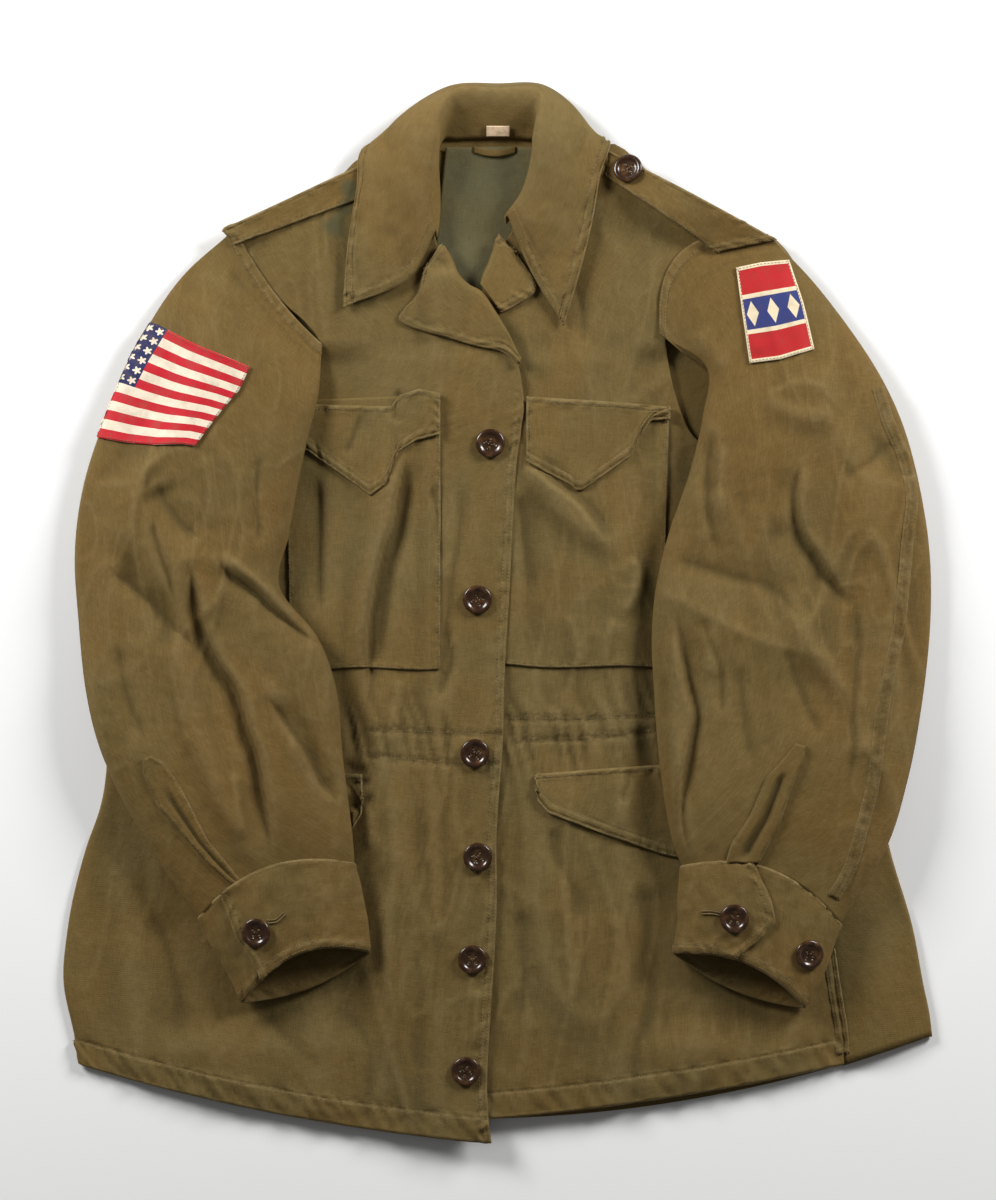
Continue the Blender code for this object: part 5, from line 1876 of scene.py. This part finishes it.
@dataclass
class NeckInside:
    """What shows in the open neck: the back's inner face, the hanger loop and a bare label."""

    lining_flat: Spot = (0.125, 0.122)

    def build(self, shop: Wardrobe) -> None:
        """Make the three pieces."""
        x, y = np.meshgrid(np.linspace(-54, 43, 40), np.linspace(242, 364, 48))
        x = x + (x + 4) * 0.26 * (242 - y) / 122
        z = LAY.back(x, y) + 3.6 + 0.5 * soft_noise(x, y, 20, 81)
        lining = ClothGrid(np.stack([x, y, z], -1))
        lining.mark_forms()
        shop.cloth("back_lining", lining, shop.inner, "inner_green", ["back_lining"], 1.0)
        u, w = np.linspace(0, 1, 30)[:, None], np.linspace(-1, 1, 7)[None]
        x, y = -19 + 33 * u + 0 * w, 362 - 3 * np.sin(math.pi * u) + 2.6 * w
        z = LAY.back(x, y) + 4.6 + 1.8 * np.sin(math.pi * u) + 0.2 * (1 - w**2)
        loop = ClothGrid(np.stack([x, y, z], -1))
        shop.cloth("hanger_loop", loop, shop.warm, "sateen_warm", ["hanger_loop"], 1.0, True)
        x, y = np.meshgrid(np.linspace(-9, 9, 20), np.linspace(372, 380, 10))
        label = ClothGrid(np.stack([x, y, 9.4 + 0.42 * (y - 372) + 0.2 * soft_noise(x, y, 6, 83)], -1))
        shop.cloth("neck_label", label, shop.tape, "label_tape", ["neck_label"], 0.8)


@dataclass
class SleevePatch:
    """A patch that is sewn on a sleeve by its edge."""

    name: str
    node: str
    sleeve: str
    edges: tuple[Outline, Outline, Outline, Outline]
    material: Material
    slot: str
    flat: Spot
    area: float
    seed: int
    lift: float = 1.5
    rim: float = 0.5
    size: tuple[int, int] = (54, 54)

    def build(self, shop: Wardrobe) -> None:
        """Lay the patch on its sleeve and whip its edge."""
        across, down = self.size
        x, y = coons(self.edges, across, down)
        places, normals = shop.surface(self.sleeve).drop(x, y)
        normals = normals + np.array([0, 0, 0.5])
        normals /= np.linalg.norm(normals, axis=-1, keepdims=True)
        s, t = np.linspace(0, 1, across)[None], np.linspace(0, 1, down)[:, None]
        inset = np.minimum(np.minimum(s, 1 - s), np.minimum(t, 1 - t))
        rise = self.lift + self.rim * np.exp(-((inset / 0.035) ** 2))
        rise = rise + 0.25 * soft_noise(x, y, 9, self.seed)
        grid = ClothGrid(places + normals * rise[..., None])
        flip = grid.faces_down()
        flat = np.stack([s + 0 * t, 1 - t + 0 * s], -1)
        shop.cloth(self.name, grid, self.material, self.slot, [self.node], 1.0, flip, flat)
        rows = [grid.line_at(side, 1.4) for side in Side]
        lines = [(line, up * (-1.0 if flip else 1.0)) for line, up in rows]
        shop.stitches(f"{self.name}_stitches", lines, self.seed)


@dataclass
class Buttons:
    """The moulded four-hole buttons and the thread that holds them."""

    radius: float = 11.35
    hole: float = 1.15
    spread: float = 2.2
    segments: int = 48
    gap: float = 0.4
    profile: Outline = (
        (0, 1.75), (0.30, 1.75), (0.52, 1.85), (0.60, 2.05), (0.66, 2.65), (0.74, 3.15), (0.84, 3.3),
        (0.93, 3.1), (0.985, 2.5), (1.0, 1.9), (0.97, 1.0), (0.86, 0.35), (0.62, 0.05), (0, 0.0),
    )

    def shape(self) -> bpy.types.Mesh:
        """Turn the button and drill its holes."""
        shape = bmesh.new()
        rings = []
        for share, z in self.profile:
            if share == 0:
                rings.append([shape.verts.new((0, 0, z * MM))])
                continue
            angles = [2 * math.pi * k / self.segments for k in range(self.segments)]
            r = share * self.radius * MM
            rings.append([shape.verts.new((r * math.cos(a), r * math.sin(a), z * MM)) for a in angles])
        for upper, lower in zip(rings, rings[1:]):
            for k in range(self.segments):
                n = (k + 1) % self.segments
                if len(upper) == 1:
                    shape.faces.new((upper[0], lower[k], lower[n]))
                elif len(lower) == 1:
                    shape.faces.new((upper[k], lower[0], upper[n]))
                else:
                    shape.faces.new((upper[k], lower[k], lower[n], upper[n]))
        bmesh.ops.recalc_face_normals(shape, faces=shape.faces)
        mesh = bpy.data.meshes.new("button_blank")
        shape.to_mesh(mesh)
        shape.free()
        blank = link("button_blank", mesh, [])
        drill = bmesh.new()
        for x, y in ((1, 1), (1, -1), (-1, 1), (-1, -1)):
            spot = Matrix.Translation(Vector((x * self.spread, y * self.spread, 1.5)) * MM)
            bmesh.ops.create_cone(drill, cap_ends=True, segments=14, radius1=self.hole * MM,
                                  radius2=self.hole * MM, depth=8 * MM, matrix=spot)
        cutter_mesh = bpy.data.meshes.new("drill")
        drill.to_mesh(cutter_mesh)
        drill.free()
        cutter = link("drill", cutter_mesh, [])
        cut = blank.modifiers.new("holes", "BOOLEAN")
        cut.object = cutter
        cut.solver = "EXACT"
        bpy.context.view_layer.update()
        done = bpy.data.meshes.new_from_object(blank.evaluated_get(bpy.context.evaluated_depsgraph_get()))
        bpy.data.objects.remove(blank)
        bpy.data.objects.remove(cutter)
        done.shade_smooth()
        return done

    def build(self, shop: Wardrobe) -> None:
        """Lay every button on the cloth and sew it on."""
        shape = self.shape()
        lines = []
        for number, (name, x, y, carrier) in enumerate(BUTTONS):
            angles = np.arange(12) * math.pi / 6 + number
            spots = np.array([(0, 0), *((r * np.cos(a), r * np.sin(a)) for a in angles for r in (5.5, 11))])
            places, normals = shop.surface(carrier).drop(x + spots[:, 0], y + spots[:, 1])
            normal = Vector(normals.mean(0)).normalized()
            centre = Vector(places[0])
            centre += normal * (max((Vector(p) - centre).dot(normal) for p in places) + self.gap)
            spin = Matrix.Rotation(0.5 * math.sin(5.0 * number), 4, "Z")
            turn = normal.to_track_quat("Z", "Y").to_matrix().to_4x4() @ spin
            mesh = shape.copy()
            mesh.transform(Matrix.Translation(centre * MM) @ turn)
            shop.ride(link(f"{name}_moulded", mesh, [shop.button]), [name])
            for side in (-1, 1):
                ends = [turn @ Vector((side * self.spread, v, 2.0 + 0.55 * (1 - (v / 2.4) ** 2))) + centre
                        for v in np.linspace(-2.4, 2.4, 5)]
                for shift in (-0.35, 0.35):
                    offset = turn @ Vector((shift, 0, 0))
                    lines.append((np.array([e + offset for e in ends]), np.array([normal] * 5)))
        shop.stitches("button_threads", lines, 900)


@dataclass
class Buttonhole:
    """A worked buttonhole that shows beside a cuff's button."""

    name: str
    line: Outline
    cuff: str
    seed: int
    half_width: float = 1.5

    def build(self, shop: Wardrobe) -> None:
        """Lay the slit on its cuff and work its edges."""
        path = Path(self.line, 0.8)
        w = np.linspace(-1, 1, 9)
        plan = path.points[:, None] + path.across()[:, None] * (w * self.half_width)[None, :, None]
        places, normals = shop.surface(self.cuff).drop(plan[..., 0], plan[..., 1])
        rise = 0.45 + 0.75 * np.abs(w[None]) * (1 - np.abs(w[None]) ** 6) + 0 * plan[..., 0]
        grid = ClothGrid(places + normals * rise[..., None])
        # Painted shade in the cut of the buttonhole.
        grid.marks["deep"] = np.broadcast_to(np.exp(-((w / 0.35) ** 2)), rise.shape)
        flip = grid.faces_down()
        shop.cloth(self.name, grid, shop.warm, "sateen_warm", [], 0.5, flip)
        lines = []
        for side in (-1, 1):
            spots = path.points + path.across() * side * self.half_width * 0.75
            lines.append(shop.surface(self.name).drop(spots[:, 0], spots[:, 1]))
        work = Needle(0.9, 0.8, 1.3, shop.needle.tree)
        shop.ride(work.sew(f"{self.name}_stitches", lines, shop.thread, self.seed))


class Studio:
    """Camera, lights and floor."""

    lens = 180.0
    height = 4.70
    middle_y = 0.009775
    softbox_size = 0.7
    softbox_power = 46.0
    room_light = 0.11
    floor_half = 4.0
    floor_height = -0.0004

    def build(self) -> None:
        """Set up the picture."""
        scene = bpy.context.scene
        scene.view_settings.view_transform = "Standard"
        camera = bpy.data.cameras.new("camera")
        camera.lens, camera.sensor_width = self.lens, 36.0
        eye = bpy.data.objects.new("camera", camera)
        eye.location = (0.0, self.middle_y, self.height)
        scene.collection.objects.link(eye)
        scene.camera = eye
        for name, side in (("softbox_left", -1), ("softbox_right", 1)):
            light = bpy.data.lights.new(name, "AREA")
            light.size, light.energy = self.softbox_size, self.softbox_power
            lamp = bpy.data.objects.new(name, light)
            lamp.location = (side * 1.5, 1.15, 1.0)
            lamp.rotation_euler = (Vector((0, 0, 0)) - lamp.location).to_track_quat("-Z", "Y").to_euler()
            scene.collection.objects.link(lamp)
        world = bpy.data.worlds.new("room")
        world.use_nodes = True
        background = world.node_tree.nodes["Background"]
        background.inputs["Color"].default_value = (1.0, 1.0, 1.0, 1.0)
        background.inputs["Strength"].default_value = self.room_light
        scene.world = world
        book = NodeBook("pale_floor")
        material = book.finish({}, {"Base Color": (0.94, 0.94, 0.93, 1.0), "Roughness": 0.9})
        floor = bpy.data.meshes.new("floor")
        turns = ((-1, -1), (1, -1), (1, 1), (-1, 1))
        corners = [(x * self.floor_half, y * self.floor_half, self.floor_height) for x, y in turns]
        floor.from_pydata(corners, [], [(0, 1, 2, 3)])
        link("floor", floor, [material])


# ---- patch finishes


def patch_weave(book: NodeBook) -> Signal:
    """Fine ribs of machine embroidery, as a relief from -1 to 1."""
    place = book.place()
    x, y, _ = book.split(place)
    return ((x * 0.8 + y * 0.6) * 5200.0).sine() * 0.5 + (book.noise(place, 700.0, 2.0) - 0.5)


@dataclass(frozen=True)
class FlagCloth:
    """A national flag of thirteen stripes, whose canton lies at the sleeve's outer edge."""

    name: str = "flag_cloth"
    red: Colour = (0.50, 0.012, 0.022)
    white: Colour = (0.78, 0.67, 0.52)
    navy: Colour = (0.018, 0.022, 0.085)
    stripes: int = 13
    canton_share: float = 0.20
    canton_depth: float = 7 / 13
    star_pitch: Spot = (0.10, 0.0897)

    def material(self) -> Material:
        """Make the flag's material."""
        book = NodeBook(self.name)
        s, up, _ = book.split(book.cloth())
        t = 1.0 - up
        wave = book.noise(book.place(), 30.0, 2.0) - 0.5
        band = (((t + wave * 0.004) * float(self.stripes)) % 2.0) > 1.0
        colour = book.mix(band, self.red, self.white)
        canton = (s < self.canton_share) * (t < self.canton_depth)
        colour = book.mix(canton, colour, self.navy)
        wide, deep = self.star_pitch
        column, line = s / wide, t / deep
        dx = ((column % 1.0) - 0.5) * (wide * 0.92)
        dy = ((line % 1.0) - 0.5) * (deep * 1.1)
        reach = (dx * dx + dy * dy) ** 0.5
        turn = book.node("ShaderNodeMath", {"operation": "ARCTAN2"}, [dx, dy])
        points = (turn * 5.0 + math.pi / 2).sine() * 0.35 + 1.0
        star = reach < (points * 0.027)
        colour = book.mix(star * canton, colour, self.white)
        soil_and_shade = book.noise(book.place(), 120.0, 3.0)
        colour = book.mix(((soil_and_shade - 0.45) * 0.9).clamp(), colour, (0.16, 0.11, 0.07))
        normal = book.bump(patch_weave(book), 0.00015, 0.5)
        links = {"Base Color": colour, "Normal": normal}
        return book.finish(links, {"Roughness": 0.75, "Specular IOR Level": 0.25})


@dataclass(frozen=True)
class PlainBadge:
    """A generic badge: red ground with a blue band, edged in cream, and three cream lozenges."""

    name: str = "plain_badge"
    red: Colour = (0.44, 0.010, 0.012)
    blue: Colour = (0.024, 0.036, 0.16)
    cream: Colour = (0.74, 0.62, 0.42)
    band: Spot = (0.34, 0.66)
    edge: float = 0.045

    def material(self) -> Material:
        """Make the badge's material."""
        book = NodeBook(self.name)
        s, t, _ = book.split(book.cloth())
        low, high = self.band
        middle, half = (low + high) / 2, (high - low) / 2
        away = (t - middle).absolute()
        colour = book.mix(away < (half + self.edge), self.red, self.cream)
        colour = book.mix(away < half, colour, self.blue)
        third = ((s * 3.0) % 1.0 - 0.5).absolute()
        lozenge = (third * 1.15 + away * 2.6) < 0.34
        colour = book.mix(lozenge, colour, self.cream)
        rim = (s - 0.5).absolute().most((t - 0.5).absolute()) > 0.462
        colour = book.mix(rim, colour, self.cream)
        soil_and_shade = book.noise(book.place(), 140.0, 3.0)
        colour = book.mix(((soil_and_shade - 0.5) * 0.9).clamp(), colour, (0.12, 0.05, 0.03))
        normal = book.bump(patch_weave(book), 0.0002, 0.7)
        links = {"Base Color": colour, "Normal": normal}
        return book.finish(links, {"Roughness": 0.7, "Specular IOR Level": 0.3})


@dataclass(frozen=True)
class WovenTape:
    """A bare woven label tape."""

    name: str = "label_tape"
    base: Colour = (0.75, 0.55, 0.36)

    def material(self) -> Material:
        """Make the tape's material."""
        book = NodeBook(self.name)
        dust = book.noise(book.place(), 260.0, 3.0)
        colour = book.mix(dust.between(0.4, 0.75), self.base, tuple(c * 0.7 for c in self.base))
        normal = book.bump(patch_weave(book), 0.0001, 0.5)
        return book.finish({"Base Color": colour, "Normal": normal}, {"Roughness": 0.8})


# ---- the jacket


def fronts() -> list[FrontPanel]:
    """The two fronts, the lower one first."""
    left = FrontPanel(
        "front_left", LEFT_FRONT, Side.FIRST_COLUMN, Side.LAST_COLUMN, 0.74,
        (seen((505, 718), (560, 719), (655, 716)), seen((519, 741), (585, 738), (653, 731))),
        (0.31, 0.75), 0.185, ("back",), 40, False,
    )
    right = FrontPanel(
        "front_right", RIGHT_FRONT, Side.LAST_COLUMN, Side.FIRST_COLUMN, 0.735,
        (seen((372, 730), (410, 731), (500, 735)), seen((365, 754), (396, 758), (448, 762), (500, 763))),
        (0.34, 0.78), 0.205, ("back", "front_left"), 20, True,
    )
    return [left, right]


def sleeves() -> list[Sleeve]:
    """The two sleeves."""
    return [
        Sleeve("sleeve_right", RIGHT_SLEEVE, RIGHT_ARMHOLE, True, 120, (0.40, 0.50), 0.160),
        Sleeve("sleeve_left", LEFT_SLEEVE, LEFT_ARMHOLE, False, 140, (0.40, 0.52), 0.175),
    ]


def seams() -> list[FelledSeam | SleeveVent]:
    """The felled seams and vents that are laid on the sleeves and the left side."""
    hindarm = seen(
        (877, 388), (888, 424), (903, 457), (911, 498), (907, 535), (902, 584), (897, 630),
        (888, 669), (881, 708), (875, 751), (871, 782), (860, 826), (848, 868), (832, 896),
    )
    side = seen((829, 950), (833, 978), (837, 1003), (842, 1034), (843, 1054))
    return [
        FelledSeam("hindarm_seam", hindarm, ("sleeve_left",), 160),
        FelledSeam("side_seam", side, ("back", "front_left"), 170),
        SleeveVent(
            "vent_right", seen((145, 758), (145, 772), (160, 806), (208, 860), (236, 885)),
            seen((153, 755), (166, 762), (183, 786), (209, 838), (242, 879)), "sleeve_right", 180,
        ),
        SleeveVent(
            "vent_left", seen((794, 743), (765, 776), (750, 812), (730, 843), (725, 861)),
            seen((803, 745), (802, 757), (790, 787), (778, 823), (758, 861)), "sleeve_left", 190, 3.4, 0.13,
        ),
    ]


def small_pieces() -> list[Any]:
    """The pieces that are sewn on the panels and sleeves."""
    on_pocket, on_skirt = 1.9 + 2.2, 3.9 - 1.4
    flag = (
        seen((148, 322), (158, 325), (194, 344), (232, 360), (251, 368)),
        seen((99, 438), (127, 443), (156, 446), (184, 445), (197, 447)),
        seen((148, 322), (128, 352), (116, 377), (104, 410), (99, 438)),
        seen((251, 368), (240, 392), (226, 408), (213, 425), (197, 447)),
    )
    badge = (
        ((186, 269), (205, 273), (227, 275)), ((196, 194), (220, 197), (246, 205)),
        ((186, 269), (191, 230), (196, 194)), ((227, 275), (238, 240), (246, 205)),
    )
    right_pocket = ((-167, 166), (-45, 170), (-45, -43), (-163, -47))
    left_pocket = ((-7, 164), (134, 160), (130, -45), (-6, -40))
    on_right, on_left = "front_right", "front_left"
    return [
        ChestPocket("chest_pocket_right", right_pocket, on_right, 200),
        ChestPocket("chest_pocket_left", left_pocket, on_left, 210),
        PocketFlap("chest_flap_right", on_right, on_pocket, 220, (0.125, 0.080), 0.0070),
        PocketFlap("chest_flap_left", on_left, on_pocket, 230, (0.115, 0.076), 0.0062),
        PocketFlap("hip_flap_right", on_right, on_skirt, 240, (0.182, 0.070), 0.0102),
        PocketFlap("hip_flap_left", on_left, on_skirt, 250, (0.212, 0.070), 0.0120),
        SleevePatch(
            "flag_patch", "flag_patch", "sleeve_right", flag, FlagCloth().material(), "flag_cloth",
            (0.092, 0.100), 0.0090, 260,
        ),
        SleevePatch(
            "plain_badge", "sleeve_badge", "sleeve_left", badge, PlainBadge().material(),
            "badge_thread", (0.052, 0.080), 0.0038, 270,
        ),
        Lapel("lapel_right", RIGHT_LAPEL, on_right, 280, (0.125, 0.052), 0.0044),
        Lapel("lapel_left", LEFT_LAPEL, on_left, 285, (0.050, 0.040), 0.0018),
    ]


def main() -> None:
    """Build the jacket, piece by piece, and set up the picture."""
    logging.basicConfig(level=logging.INFO, format="%(message)s")
    for item in [o for o in bpy.data.objects if o.type in {"MESH", "LIGHT", "CAMERA"}]:
        bpy.data.objects.remove(item)
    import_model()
    shop = Wardrobe(
        sateen=Sateen("olive_sateen", (0.152, 0.101, 0.0305)).material(),
        warm=Sateen("olive_sateen_warm", (0.147, 0.092, 0.0255)).material(),
        # Painted light: the collar and lapels get a lighter copy of the olive cloth.
        light=Sateen("olive_sateen_collar", (0.170, 0.112, 0.0345)).material(),
        inner=Sateen(
            "green_inner_face", (0.134, 0.116, 0.055), (0.20, 0.185, 0.10), (0.07, 0.065, 0.03)
        ).material(),
        tape=WovenTape().material(),
        thread=Thread("thread", (0.165, 0.118, 0.048)).material(),
        button=MouldedButton().material(),
        needle=Needle(),
    )
    BackPanel().build(shop)
    for piece in [*fronts(), *sleeves()]:
        piece.build(shop)
    cuffs = [
        Cuff("cuff_right", RIGHT_CUFF, 0.22, 0.15, 0.01, False, 320, ("front_right",)),
        Cuff("cuff_left", LEFT_CUFF, 0.33, 0.27, 0.05, True, 330, ("front_left",)),
    ]
    right_corners = ((-97, 327), (-99, 354), (-216, 299), (-206, 287))
    left_corners = ((84, 341), (87, 361), (218, 291), (170, 281))
    straps = [
        ShoulderStrap("shoulder_strap_right", right_corners, 1.0, False, 340),
        ShoulderStrap("shoulder_strap_left", left_corners, 14.0, True, 350),
    ]
    holes = [
        Buttonhole("cuff_hole_right", seen((269, 920), (277, 919), (285, 912)), "cuff_right", 360),
        Buttonhole("cuff_hole_left", seen((701, 911), (712, 911), (723, 914)), "cuff_left", 365),
    ]
    laid = [*seams(), *cuffs, *holes, *straps, *small_pieces(), NeckInside(), Collar(), Buttons()]
    for piece in laid:
        piece.build(shop)
    Studio().build()


if __name__ == "__main__":
    main()
